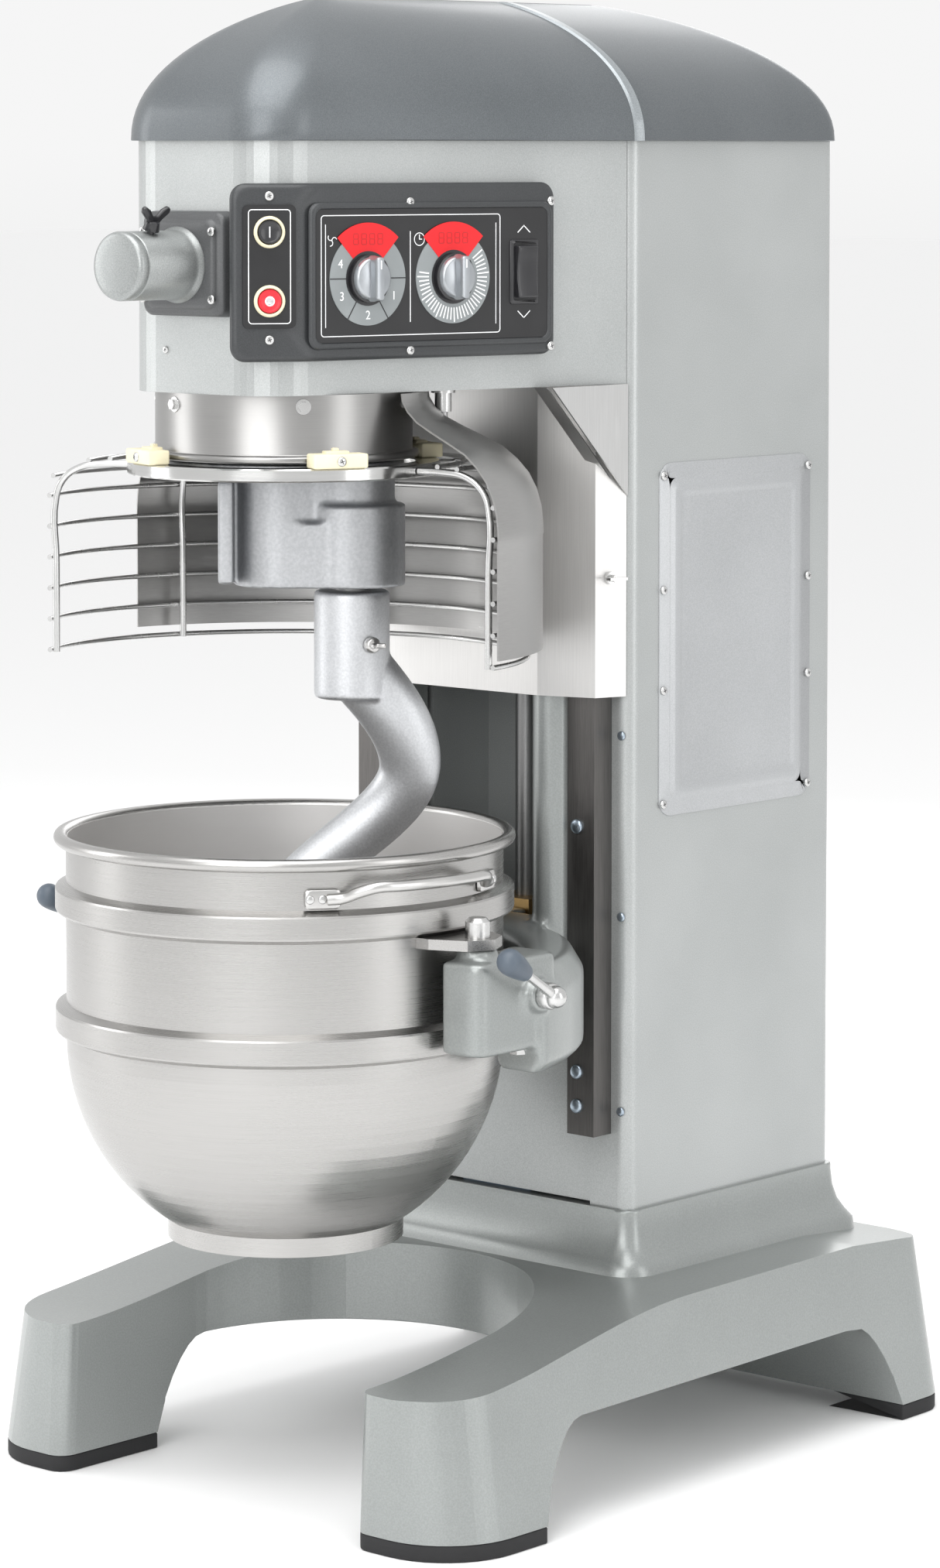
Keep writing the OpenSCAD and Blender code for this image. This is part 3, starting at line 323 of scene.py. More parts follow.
def makeSpunGroup():
    # turned metal: rings about an upright axis at (0, Centre)
    group, enter, leave = newGroup("spun_rings", [("Vector", "NodeSocketVector", None),
        ("Centre", "NodeSocketFloat", 0.0), ("Fineness", "NodeSocketFloat", 700.0),
        ("Dome", "NodeSocketFloat", 0.0)],
        [("Streak", "NodeSocketFloat"), ("Reach", "NodeSocketFloat")])
    split = group.nodes.new("ShaderNodeSeparateXYZ")
    group.links.new(enter.outputs["Vector"], split.inputs[0])
    y = mathNode(group, "SUBTRACT", split.outputs["Y"], enter.outputs["Centre"])
    radius = mathNode(group, "SQRT", mathNode(group, "ADD", mathNode(group, "MULTIPLY",
        split.outputs["X"], split.outputs["X"]), mathNode(group, "MULTIPLY", y, y)))
    below = mathNode(group, "MINIMUM", mathNode(group, "SUBTRACT", split.outputs["Z"],
                                                enter.outputs["Dome"]), 0.0)
    reach = mathNode(group, "SQRT", mathNode(group, "ADD", mathNode(group, "MULTIPLY", radius, radius),
        mathNode(group, "MULTIPLY", below, below)))
    group.links.new(reach, leave.inputs["Reach"])
    turn = mathNode(group, "ARCTAN2", y, split.outputs["X"])
    join = group.nodes.new("ShaderNodeCombineXYZ")
    group.links.new(mathNode(group, "MULTIPLY", radius, enter.outputs["Fineness"]), join.inputs["X"])
    group.links.new(mathNode(group, "MULTIPLY", split.outputs["Z"], enter.outputs["Fineness"]),
                    join.inputs["Y"])
    group.links.new(mathNode(group, "MULTIPLY", mathNode(group, "ABSOLUTE", turn), 2.5), join.inputs["Z"])
    group.links.new(noiseNode(group, join.outputs[0], 1.0, 4.0, 0.6), leave.inputs["Streak"])
    return group


speckle, brushing, spunRings = makeSpeckleGroup(), makeStreakGroup(), makeSpunGroup()


def startMaterial(name):
    mat = bpy.data.materials.new(name)
    mat.use_nodes = True
    tree = mat.node_tree
    coords = tree.nodes.new("ShaderNodeTexCoord").outputs["Object"]
    return mat, tree, tree.nodes["Principled BSDF"], coords


def mixColour(tree, factor, a, b):
    node = tree.nodes.new("ShaderNodeMix")
    node.data_type = "RGBA"
    if isinstance(factor, (int, float)):
        node.inputs["Factor"].default_value = factor
    else:
        tree.links.new(factor, node.inputs["Factor"])
    for socket, c in ((node.inputs[6], a), (node.inputs[7], b)):
        if isinstance(c, tuple):
            socket.default_value = (*c, 1) if len(c) == 3 else c
        else:
            tree.links.new(c, socket)
    return node.outputs[2]


def bumpFrom(tree, bsdf, height, strength, distance=0.001):
    bump = tree.nodes.new("ShaderNodeBump")
    bump.inputs["Strength"].default_value = strength
    bump.inputs["Distance"].default_value = distance
    tree.links.new(height, bump.inputs["Height"])
    tree.links.new(bump.outputs["Normal"], bsdf.inputs["Normal"])


def paint(name, base, light, rough=0.36, metallic=0.5, coat=0.25, grain=900.0, cloud=5.0, bump=0.12,
          depth=0.0004):
    # metallic enamel: a light fleck in the colour and a faint orange peel
    mat, tree, bsdf, coords = startMaterial(name)
    mottled = tree.nodes.new("ShaderNodeGroup")
    mottled.node_tree = speckle
    tree.links.new(coords, mottled.inputs["Vector"])
    mottled.inputs["Cloud"].default_value = cloud
    mottled.inputs["Grain"].default_value = grain
    fleck = rangeNode(tree, mottled.outputs["Grain"], 0.0, 1.0, 0.35, 0.68)
    cloudy = rangeNode(tree, mottled.outputs["Cloud"], 0.0, 0.35, 0.3, 0.7)
    both = mathNode(tree, "ADD", mathNode(tree, "MULTIPLY", fleck, 0.65), cloudy)
    tree.links.new(mixColour(tree, both, base, light), bsdf.inputs["Base Color"])
    tree.links.new(rangeNode(tree, mottled.outputs["Cloud"], rough - 0.04, rough + 0.05),
                   bsdf.inputs["Roughness"])
    bsdf.inputs["Metallic"].default_value = metallic
    bsdf.inputs["Coat Weight"].default_value = coat
    bsdf.inputs["Coat Roughness"].default_value = 0.18
    bumpFrom(tree, bsdf, mottled.outputs["Grain"], bump, depth)
    return mat


def brushed(name, base, stretch, rough=0.3, spread=0.12, bump=0.08, tone=0.12):
    # brushed stainless or machined steel
    mat, tree, bsdf, coords = startMaterial(name)
    streaks = tree.nodes.new("ShaderNodeGroup")
    streaks.node_tree = brushing
    tree.links.new(coords, streaks.inputs["Vector"])
    streaks.inputs["Stretch"].default_value = stretch
    return finishMetal(mat, tree, bsdf, coords, streaks.outputs["Streak"], base, rough, spread, bump, tone)


def spun(name, base, centre, fineness=700.0, rough=0.22, spread=0.1, bump=0.05, tone=0.08, inside=None):
    mat, tree, bsdf, coords = startMaterial(name)
    rings = tree.nodes.new("ShaderNodeGroup")
    rings.node_tree = spunRings
    tree.links.new(coords, rings.inputs["Vector"])
    rings.inputs["Centre"].default_value = centre
    rings.inputs["Fineness"].default_value = fineness
    finishMetal(mat, tree, bsdf, coords, rings.outputs["Streak"], base, rough, spread, bump, tone)
    if inside:
        rings.inputs["Dome"].default_value = inside["domeZ"]
        within = mathNode(tree, "LESS_THAN", rings.outputs["Reach"], inside["wall"])
        was = bsdf.inputs["Roughness"].links[0].from_socket
        satin = mathNode(tree, "ADD", was, mathNode(tree, "MULTIPLY", within, inside["rougher"]))
        tree.links.new(satin, bsdf.inputs["Roughness"])
        # the lighter tone on the inner wall is a painted reflection, the extra roughness a real satin
        # finish
        hue = bsdf.inputs["Base Color"].links[0].from_socket
        tree.links.new(mixColour(tree, within, hue, inside["tone"]), bsdf.inputs["Base Color"])
    return mat


def finishMetal(mat, tree, bsdf, coords, streak, base, rough, spread, bump, tone):
    smear = noiseNode(tree, coords, 7.0, 3.0)
    lit = rangeNode(tree, streak, 0.0, 1.0, 0.3, 0.7)
    dark = tuple(c * (1 - tone) for c in base)
    tree.links.new(mixColour(tree, lit, dark, base), bsdf.inputs["Base Color"])
    change = mathNode(tree, "ADD", mathNode(tree, "MULTIPLY", lit, spread),
                      mathNode(tree, "MULTIPLY", rangeNode(tree, smear, 0.0, 1.0, 0.3, 0.7), spread * 0.7))
    tree.links.new(mathNode(tree, "ADD", change, rough - spread * 0.5), bsdf.inputs["Roughness"])
    bsdf.inputs["Metallic"].default_value = 1.0
    bumpFrom(tree, bsdf, streak, bump, 0.0003)
    return mat


def cast(name, base, light, rough=0.42, grain=260.0, bump=0.35, depth=0.0008, metallic=1.0):
    # tumbled aluminium casting
    mat, tree, bsdf, coords = startMaterial(name)
    mottled = tree.nodes.new("ShaderNodeGroup")
    mottled.node_tree = speckle
    tree.links.new(coords, mottled.inputs["Vector"])
    mottled.inputs["Cloud"].default_value = 14.0
    mottled.inputs["Grain"].default_value = grain
    fleck = rangeNode(tree, mottled.outputs["Grain"], 0.0, 0.7, 0.35, 0.7)
    both = mathNode(tree, "ADD", fleck, rangeNode(tree, mottled.outputs["Cloud"], 0.0, 0.3, 0.3, 0.7))
    tree.links.new(mixColour(tree, both, base, light), bsdf.inputs["Base Color"])
    tree.links.new(rangeNode(tree, mottled.outputs["Cloud"], rough - 0.08, rough + 0.1),
                   bsdf.inputs["Roughness"])
    bsdf.inputs["Metallic"].default_value = metallic
    bumpFrom(tree, bsdf, mottled.outputs["Grain"], bump, depth)
    return mat


def plastic(name, base, rough=0.35, grain=1400.0, bump=0.06, light=None, metallic=0.0, coat=0.0):
    mat, tree, bsdf, coords = startMaterial(name)
    fine = noiseNode(tree, coords, grain, 2.0)
    broad = noiseNode(tree, coords, 30.0, 3.0)
    tone = light or tuple(min(1.0, c * 1.25 + 0.004) for c in base)
    tree.links.new(mixColour(tree, rangeNode(tree, broad, 0.0, 0.5, 0.3, 0.7), base, tone),
                   bsdf.inputs["Base Color"])
    tree.links.new(rangeNode(tree, broad, rough - 0.05, rough + 0.06), bsdf.inputs["Roughness"])
    bsdf.inputs["Metallic"].default_value = metallic
    bsdf.inputs["Coat Weight"].default_value = coat
    bumpFrom(tree, bsdf, fine, bump, 0.0002)
    return mat


greyEnamel = paint("grey_enamel", (0.34, 0.355, 0.352), (0.47, 0.485, 0.482), rough=0.36, coat=0.3)
castEnamel = paint("cast_grey_enamel", (0.262, 0.278, 0.272), (0.318, 0.335, 0.329), rough=0.32, coat=0.4,
                   grain=520.0, cloud=9.0, bump=0.12, depth=0.0008)
darkEnamel = paint("dark_enamel", (0.095, 0.106, 0.114), (0.155, 0.168, 0.177), rough=0.42,
                   metallic=0.6, coat=0.25)
trimEnamel = paint("trim_enamel", (0.030, 0.032, 0.034), (0.050, 0.053, 0.056), rough=0.42,
                   metallic=0.2, coat=0.1)
hubTrim = paint("hub_trim_enamel", (0.065, 0.067, 0.069), (0.10, 0.103, 0.106), rough=0.42,
                metallic=0.3, coat=0.1)
stainless = brushed("stainless_brushed_upright", (0.72, 0.712, 0.70), (1200.0, 1200.0, 14.0),
                    rough=0.36, bump=0.02)
gussetSteel = brushed("gusset_stainless", (0.64, 0.64, 0.635), (900.0, 900.0, 18.0), rough=0.36, bump=0.02)
# satin inner wall: rougher, and a lighter tone that is a painted reflection of the bright surroundings
bowlInsideSatinAndSheen = {"domeZ": 0.495, "wall": 0.2333, "rougher": 0.22, "tone": (0.74, 0.73, 0.72)}
bowlSteel = spun("bowl_stainless", (0.46, 0.453, 0.443), axisY, 1500.0, rough=0.26, spread=0.08, bump=0.006,
                 inside=bowlInsideSatinAndSheen)
drumSteel = spun("drum_stainless", (0.36, 0.356, 0.35), axisY, 2600.0, rough=0.30, spread=0.08, bump=0.006)
brightSteel = plastic("bright_steel", (0.56, 0.56, 0.555), rough=0.26, metallic=1.0, bump=0.03)
slideSteel = brushed("slide_steel", (0.17, 0.163, 0.158), (900.0, 900.0, 30.0), rough=0.38, spread=0.14,
                     bump=0.15, tone=0.3)
machined = brushed("machined_steel", (0.42, 0.42, 0.42), (500.0, 500.0, 500.0), rough=0.34)
castAluminium = cast("cast_aluminium", (0.38, 0.388, 0.40), (0.47, 0.478, 0.49), rough=0.46, bump=0.2)
hookAluminium = cast("hook_aluminium", (0.52, 0.53, 0.545), (0.64, 0.65, 0.665), rough=0.44,
                     grain=420.0, bump=0.2)
greyIron = cast("grey_iron", (0.12, 0.12, 0.125), (0.2, 0.2, 0.205), rough=0.55, grain=400.0)
motorEnamel = paint("motor_enamel", (0.05, 0.09, 0.14), (0.1, 0.15, 0.21), metallic=0.2)
bronze = brushed("bronze", (0.5, 0.33, 0.14), (500.0, 500.0, 500.0), rough=0.35)
blackRubber = plastic("black_rubber", (0.012, 0.012, 0.013), rough=0.75, grain=500.0, bump=0.3)
blackPlastic = plastic("black_plastic", (0.012, 0.012, 0.014), rough=0.3, coat=0.3)
blackFascia = plastic("black_fascia", (0.010, 0.010, 0.011), rough=0.42, grain=2200.0, bump=0.02)
dialGrey = plastic("dial_grey", (0.22, 0.238, 0.242), rough=0.45)
printWhite = plastic("print_white", (0.78, 0.79, 0.8), rough=0.45)
windowRed = plastic("window_red", (0.66, 0.004, 0.008), rough=0.55, light=(0.76, 0.008, 0.014))
silverPlastic = plastic("silver_plastic", (0.36, 0.38, 0.40), rough=0.30, metallic=0.8,
                        light=(0.47, 0.49, 0.51))
redPlastic = plastic("red_plastic", (0.60, 0.008, 0.02), rough=0.4, coat=0.15)
creamPlastic = plastic("cream_plastic", (0.74, 0.68, 0.48), rough=0.5)
zincSteel = plastic("zinc_steel", (0.36, 0.42, 0.48), rough=0.28, metallic=1.0, bump=0.03)
# dark colour for the screw crosses: painted shade of the recess
crossRecessShade = plastic("screw_cross_painted_shade", (0.09, 0.09, 0.092), rough=0.5, metallic=0.6)
slatePlastic = plastic("slate_plastic", (0.075, 0.095, 0.12), rough=0.42)
# the hood's dark enamel made lighter for the rib: a painted highlight along the raised rib
ribPaintedHighlight = paint("rib_enamel_painted_highlight", (0.22, 0.24, 0.25), (0.33, 0.355, 0.37), rough=0.38)
panelEnamel = paint("panel_enamel", (0.35, 0.36, 0.368), (0.48, 0.49, 0.50), rough=0.40)
hubEnamel = paint("hub_enamel", (0.25, 0.262, 0.26), (0.36, 0.375, 0.37), rough=0.36, metallic=0.6,
                  coat=0.25,
                  grain=700.0, bump=0.1)
figureRed = plastic("figure_red", (0.42, 0.01, 0.012), rough=0.3)
ringSteel = spun("ring_stainless", (0.66, 0.66, 0.65), axisY, 500.0, rough=0.14, spread=0.06, bump=0.01)
shieldSteel = brushed("shield_stainless", (0.40, 0.396, 0.39), (60.0, 60.0, 900.0), rough=0.32, bump=0.01)
handleSteel = plastic("handle_steel", (0.52, 0.515, 0.505), rough=0.30, metallic=1.0, bump=0.04)
print("materials ready:", len(bpy.data.materials))

# every CAD node gets a finish first; pieces below stand for most of them
nodeFinish = {
    "base_casting": castEnamel, "foot_pads": blackRubber, "column_shell": greyEnamel,
    "rear_cover": greyEnamel, "side_access_panels": greyEnamel, "panel_screws": brightSteel,
    "column_front_cover": greyEnamel, "slideways": slideSteel, "slideway_bolts": brightSteel,
    "column_shroud": stainless, "shroud_screws": brightSteel, "head_shell": greyEnamel,
    "head_gussets": gussetSteel, "hood": darkEnamel, "gear_case": greyIron,
    "planetary_drum": drumSteel, "ring_gear": machined, "hub_plate": hubTrim,
    "hub_barrel": greyEnamel, "control_bezel": trimEnamel, "control_fascia": blackFascia,
    "start_stop_plate": blackFascia, "dial_faces": dialGrey, "splash_shield": drumSteel,
    "interlock_switch": brightSteel, "drive_motor": motorEnamel, "lift_motor": motorEnamel,
    "cable_gland": blackPlastic, "shaft_bearings": machined, "guard_ring": drumSteel,
    "guard_wires": brightSteel, "guard_guides": creamPlastic, "planetary_head": castAluminium,
    "planetary_gear": machined, "agitator_bearings": machined, "agitator_shaft": machined,
    "agitator_pinion": machined, "dough_hook": hookAluminium, "hook_thumb_screw": brightSteel,
    "countershaft_gears": machined, "motor_pinion": machined, "hub_drive_shaft": machined,
    "hub_cap": greyEnamel, "hub_thumb_screw": blackPlastic, "speed_knob": silverPlastic,
    "timer_knob": silverPlastic, "start_button": blackPlastic, "stop_button": redPlastic,
    "lift_rocker": blackPlastic, "interlock_plunger": machined, "bowl_support": castEnamel,
    "bowl_pins": brightSteel, "lift_nut": bronze, "lift_screw": machined,
    "clamp_lever_right": slatePlastic, "clamp_lever_left": slatePlastic, "bowl": bowlSteel,
    "bowl_bands": bowlSteel, "bowl_ears": bowlSteel, "bowl_handles": brightSteel,
}
for name, material in nodeFinish.items():
    mesh = nodes[name].data
    mesh.materials.clear()
    mesh.materials.append(material)


footLo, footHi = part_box("foot_pads")
castLo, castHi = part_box("base_casting")
columnLo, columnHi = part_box("column_shell")
base = {
    "frontHalf": footHi.x, "rearHalf": 0.328, "front": footLo.y, "back": castHi.y,
    "bayHalf": 0.2155, "bayCentre": axisY + 0.080, "tipTop": 0.162, "deck": 0.207,
    "arch": 0.117, "pad": footHi.z, "draft": 0.028, "round": 0.012,
}


def baseOutline():
    # right half of the base's plan, from the middle of the bay to the middle of the back
    b = base
    half = arcPoints(0, b["bayCentre"], b["bayHalf"], 90, 0, 18)
    half += arcPoints(b["bayHalf"] + 0.02, b["front"] + 0.02, 0.02, 180, 270, 5)
    half += arcPoints(b["frontHalf"] - 0.09, b["front"] + 0.09, 0.09, -90, 0, 10)
    half += [(b["frontHalf"], axisY + 0.02)]
    half += arcPoints(b["rearHalf"] - 0.044, b["back"] - 0.05, 0.046, -2, 70, 6)
    half += [(b["rearHalf"] - 0.07, b["back"]), (0, b["back"])]
    return half


def baseTopAt(y):
    # height of the legs and deck at depth y: low at the toes, rising towards the column
    toe, deckFront = base["front"], axisY + 0.30
    t = min(max((y - toe) / (deckFront - toe), 0), 1)
    rise = base["tipTop"] + (base["deck"] - base["tipTop"]) * (t * t * (3 - 2 * t))
    tail = max(0, y - (base["back"] - 0.16)) / 0.16
    return rise - 0.012 * tail


def archAt(y):
    # underside of the side rails: floor at the feet, an arch between them
    frontToe, rearToe = axisY + 0.02, base["back"] - 0.099
    if y <= frontToe or y >= rearToe:
        return base["pad"]
    near = min(y - frontToe, rearToe - y)
    t = min(near / 0.075, 1)
    return base["pad"] + (base["arch"] - base["pad"]) * math.sin(math.pi / 2 * t) ** 0.75


def buildBase():
    bm = newMesh()
    half = baseOutline()
    whole = half[:-1] + [(-x, y) for x, y in reversed(half[1:])]
    # plan pushed up, then cut into strips so that its top and underside can follow their curves
    addPrism(bm, whole, 0, 0.3)
    y = base["front"] + 0.01
    cuts = []
    while y < base["back"] - 0.005:
        cuts.append(y)
        y += 0.0125 if archAt(y) < base["arch"] - 0.002 or y < axisY else 0.03
    for y in cuts:
        bmesh.ops.bisect_plane(bm, geom=everything(bm), plane_co=(0, y, 0),
                               plane_no=(0, 1, 0), dist=1e-6)
    for x in (0.235, -0.235):
        bmesh.ops.bisect_plane(bm, geom=everything(bm), plane_co=(x, 0, 0),
                               plane_no=(1, 0, 0), dist=1e-6)
    for v in bm.verts:
        v.co.z = baseTopAt(v.co.y) if v.co.z > 0.15 else archAt(v.co.y)
    return bm


def shapeBase():
    bm = buildBase()
    top = [f for f in bm.faces if f.normal.z > 0.5]
    bottom = [f for f in bm.faces if f.normal.z < -0.5]
    # the outer faces lean in towards the top
    for v in bm.verts:
        k = max(0, (v.co.z - base["pad"]) / (base["deck"] - base["pad"]))
        if abs(v.co.x) > 0.24:
            v.co.x -= math.copysign(base["draft"] * k * min(1, (abs(v.co.x) - 0.24) / 0.06), v.co.x)
        if v.co.y < base["front"] + 0.10:
            v.co.y += 0.010 * k * max(0, 1 - (v.co.y - base["front"]) / 0.10)
        if v.co.y > base["back"] - 0.06:
            v.co.y -= 0.014 * k * (v.co.y - base["back"] + 0.06) / 0.06
    rim = {e for f in top for e in f.edges if any(g not in top for g in e.link_faces)}
    bevelEdges(bm, [e for e in rim if e.is_valid], 0.016, 4)
    low = {e for f in bottom if f.is_valid for e in f.edges if e.is_valid and e.calc_face_angle(0) > 0.6
           and e.verts[0].co.z > base["pad"] + 0.004 and e.verts[1].co.z > base["pad"] + 0.004}
    bevelEdges(bm, list(low), 0.006, 2)
    return bm


finishPiece("baseCasting", shapeBase(), castEnamel, "machine", ["base_casting"],
            smooth=40, weighted=True)


def buildPlinth():
    # the flared foot of the column, cast in one with the deck
    bm = newMesh()
    rows = [(0.034, -0.026), (0.030, 0.004), (0.021, 0.014), (0.013, 0.026), (0.008, 0.042),
            (0.006, 0.060), (0.006, 0.067)]
    rings = []
    for out, up in rows:
        z = base["deck"] + up if up < 0.067 else columnLo.z
        ring = roundedRect(columnLo.x - out, columnLo.y - out, columnHi.x + out, columnHi.y + out,
                           0.016 + out * 0.8)
        rings.append([(x, y, z) for x, y in ring])
    loftRings(bm, rings)
    rim = [e for e in bm.edges if all(abs(v.co.z - columnLo.z) < 1e-6 for v in e.verts)
           and e.calc_face_angle(0) > 0.5]
    bevelEdges(bm, rim, 0.003, 3)
    return bm


finishPiece("columnPlinth", buildPlinth(), castEnamel, "machine", (), smooth=50,
            weighted=True)


def buildFeet():
    bm = newMesh()
    half = baseOutline()
    whole = half[:-1] + [(-x, y) for x, y in reversed(half[1:])]
    addPrism(bm, whole, 0, base["pad"] - 0.0004)
    toeEnd, heelStart = axisY + 0.02, base["back"] - 0.099
    for y in (toeEnd, heelStart):
        bmesh.ops.bisect_plane(bm, geom=everything(bm), plane_co=(0, y, 0),
                               plane_no=(0, 1, 0), dist=1e-6)
    for x in (0.23, -0.23):
        bmesh.ops.bisect_plane(bm, geom=everything(bm), plane_co=(x, 0, 0),
                               plane_no=(1, 0, 0), dist=1e-6)
    gone = []
    for f in bm.faces:
        c = f.calc_center_median()
        middle = toeEnd - 1e-5 < c.y < heelStart + 1e-5
        between = c.y > heelStart and abs(c.x) < 0.2299
        if middle or between:
            gone.append(f)
    bmesh.ops.delete(bm, geom=gone, context="FACES")
    bmesh.ops.holes_fill(bm, edges=[e for e in bm.edges if e.is_boundary], sides=0)
    bmesh.ops.recalc_face_normals(bm, faces=bm.faces)
    bmesh.ops.dissolve_limit(bm, angle_limit=0.02, verts=bm.verts, edges=bm.edges)
    bevelEdges(bm, sharpEdges(bm, 50), 0.002, 2)
    return bm


finishPiece("footPads", buildFeet(), blackRubber, "machine", ["foot_pads"], smooth=45)
print("base ready")


def castCopy(node, voxel, soften):
    # a merged copy of a node's mesh, remeshed and relaxed so that every edge turns round
    mesh = nodes[node].data.copy()
    mesh.materials.clear()
    bm = newMesh()
    bm.from_mesh(mesh)
    bmesh.ops.remove_doubles(bm, verts=bm.verts, dist=0.00002)
    bm.to_mesh(mesh)
    bm.free()
    return relaxed(node + "_work", mesh, voxel, soften)


def relaxed(name, mesh, voxel, soften):
    holder = bpy.data.objects.new(name, mesh)
    bpy.context.scene.collection.objects.link(holder)
    remesh = holder.modifiers.new("Remesh", "REMESH")
    remesh.mode = "VOXEL"
    remesh.voxel_size = voxel
    relax = holder.modifiers.new("Smooth", "SMOOTH")
    relax.factor = 0.5
    relax.iterations = soften
    bpy.context.view_layer.update()
    made = bpy.data.meshes.new_from_object(holder.evaluated_get(bpy.context.evaluated_depsgraph_get()))
    bpy.data.objects.remove(holder)
    made.name = name
    return made


def addCasting(name, node, material, body, voxel, soften=6):
    piece = addObject(name, castCopy(node, voxel, soften), material, body, [node], smooth=180)
    print("casting:", name, len(piece.data.polygons), "faces")


addCasting("bowlSupport", "bowl_support", castEnamel, "bowl_lift", 0.0038, 7)
addCasting("planetaryHead", "planetary_head", castAluminium, "planetary", 0.0026, 5)


hook = {"top": 0.894, "tip": 0.524, "collarLow": 0.856, "collarTop": 0.972, "collarR": 0.0405,
        "turn": 42, "out": 0.072, "rings": 46, "sides": 30}


def hookPoint(t):
    # middle line of the arm, in the agitator's own frame
    s = min(max(t, 0), 1)
    if s < 0.3:
        x = 62 * math.sin(math.radians(90 * s / 0.3))
    else:
        x = 62 - 150 * (0.5 - 0.5 * math.cos(math.radians(180 * (s - 0.3) / 0.5)))
    if s > 0.8:
        x += 80 * ((s - 0.8) / 0.2) ** 1.3
    y = 26 * math.sin(math.radians(180 * t)) ** 2
    return Vector((x * mm, y * mm, hook["top"] + (hook["tip"] - hook["top"]) * t))


def hookRing(t):
    p = hookPoint(t)
    along = (hookPoint(t + 0.01) - hookPoint(t - 0.01)).normalized()
    b = along.cross(Vector((0, 1, 0))).normalized()
    c = b.cross(along)
    w = (37 - 13 * t) * mm
    ring = []
    for i in range(hook["sides"]):
        a = 2 * math.pi * i / hook["sides"]
        ridge = 1 + 0.10 * math.exp(-((math.atan2(math.sin(a - 2.2),
                                                  math.cos(a - 2.2))) / 0.4) ** 2)   # the arm's crest
        ring.append(p + b * (w * math.cos(a) * ridge) + c * (w * 0.72 * math.sin(a) * ridge))
    return ring


def buildHook():
    bm = newMesh()
    count = hook["rings"]
    loftRings(bm, [hookRing(0.02 + 0.95 * k / count) for k in range(count + 1)])
    low, top, r = hook["collarLow"], hook["collarTop"], hook["collarR"]
    spinProfile(bm, [(0, low), (r - 0.003, low), (r, low + 0.003), (r, top - 0.003), (r - 0.003, top),
                     (0, top)], steps=64)
    bmesh.ops.remove_doubles(bm, verts=bm.verts, dist=0.00001)
    bmesh.ops.recalc_face_normals(bm, faces=bm.faces)
    place = Matrix.Translation((0, axisY, 0)) @ Matrix.Rotation(math.radians(hook["turn"]), 4,
            "Z") @ Matrix.Translation((hook["out"], 0, 0))
    move(bm, bm.verts, place)
    mesh = bpy.data.meshes.new("dough_hook_work")
    bm.to_mesh(mesh)
    bm.free()
    made = relaxed("hook_work", mesh, 0.0022, 7)
    addObject("doughHook", made, hookAluminium, "agitator", ["dough_hook"], smooth=180)


buildHook()
print("hook ready")


hoodLo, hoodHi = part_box("hood")
hoodShape = {"rows": 26, "nose": 0.068, "flare": 10.5, "bendX": 0.0571, "bendY": -0.075, "tailR": 0.03,
             "wall": 0.004, "ribFront": 0.336, "ribBack": 0.350, "ribHigh": 0.0022}


def hoodOutline():
    h = hoodShape
    half = arcPoints(h["bendX"], axisY + h["bendY"], h["nose"], -90, -h["flare"], 14)
    half += [(hoodHi.x, axisY + 0.350)]
    half += arcPoints(hoodHi.x - h["tailR"], hoodHi.y - h["tailR"], h["tailR"], 0, 90, 8)
    dense = []
    for a, b in zip(half, half[1:]):
        n = max(1, round(math.dist(a, b) / 0.022))
        dense += [(a[0] + (b[0] - a[0]) * i / n, a[1] + (b[1] - a[1]) * i / n) for i in range(n)]
    dense.append(half[-1])
    return dense + [(-x, y) for x, y in reversed(dense)]


def hoodRing(k, out=0.0):
    half = hoodHi.x
    long = (hoodHi.y - hoodLo.y) / 2
    inset = half * (1 - (1 - k ** 2.2) ** 0.75) - out
    middle = (hoodHi.y + hoodLo.y) / 2
    sx, sy = max(0.02, 1 - inset / half), max(0.02, 1 - inset / long)
    z = hoodLo.z + k * (hoodHi.z - hoodLo.z)
    return [Vector((x * sx, middle + (y - middle) * sy, z)) for x, y in hoodOutline()]


def hoodSteps(n):
    return [math.sin(math.pi / 2 * (i / n)) ** 0.9 for i in range(n)] + [0.99995]


def buildHood():
    bm = newMesh()
    lip = [[Vector((v.x * s, v.y, v.z + dz)) for v in hoodRing(0)] for s,
           dz in ((0.978, 0.0), (0.992, 0.0))]
    loftRings(bm, lip + [[v + Vector((0, 0, 0.001)) for v in hoodRing(0)]]
              + [hoodRing(k) for k in hoodSteps(hoodShape["rows"])[1:]], capStart=False)
    finishPiece("hoodShell", bm, darkEnamel, "machine", ["hood"], smooth=50)


def buildHoodRib():
    bm = newMesh()
    loftRings(bm, [hoodRing(k) for k in hoodSteps(40)], capStart=False)
    bmesh.ops.recalc_face_normals(bm, faces=bm.faces)
    front, back = axisY + hoodShape["ribFront"], axisY + hoodShape["ribBack"]
    bmesh.ops.bisect_plane(bm, geom=everything(bm), plane_co=(0, front, 0), plane_no=(0, -1, 0),
                           clear_outer=True)
    bmesh.ops.bisect_plane(bm, geom=everything(bm), plane_co=(0, back, 0), plane_no=(0, 1, 0),
                           clear_outer=True)
    bmesh.ops.dissolve_degenerate(bm, dist=0.00005, edges=bm.edges)
    bm.normal_update()
    normals = {v: v.normal.copy() for v in bm.verts}
    made = bmesh.ops.extrude_face_region(bm, geom=bm.faces[:])["geom"]
    raised = [v for v in made if isinstance(v, bmesh.types.BMVert)]
    bm.normal_update()
    for v in raised:
        out = v.normal.copy()
        out.y = 0
        if out.length > 0:
            v.co += out.normalized() * hoodShape["ribHigh"]
        v.co.z = min(v.co.z, hoodHi.z)
        v.co.y = min(max(v.co.y, front + 0.0025), back - 0.0025)   # sloping sides
    # the lighter enamel on the rib is a painted highlight
    finishPiece("hoodRib", bm, ribPaintedHighlight, "machine", (), smooth=25)


buildHood()
buildHoodRib()
print("hood ready")


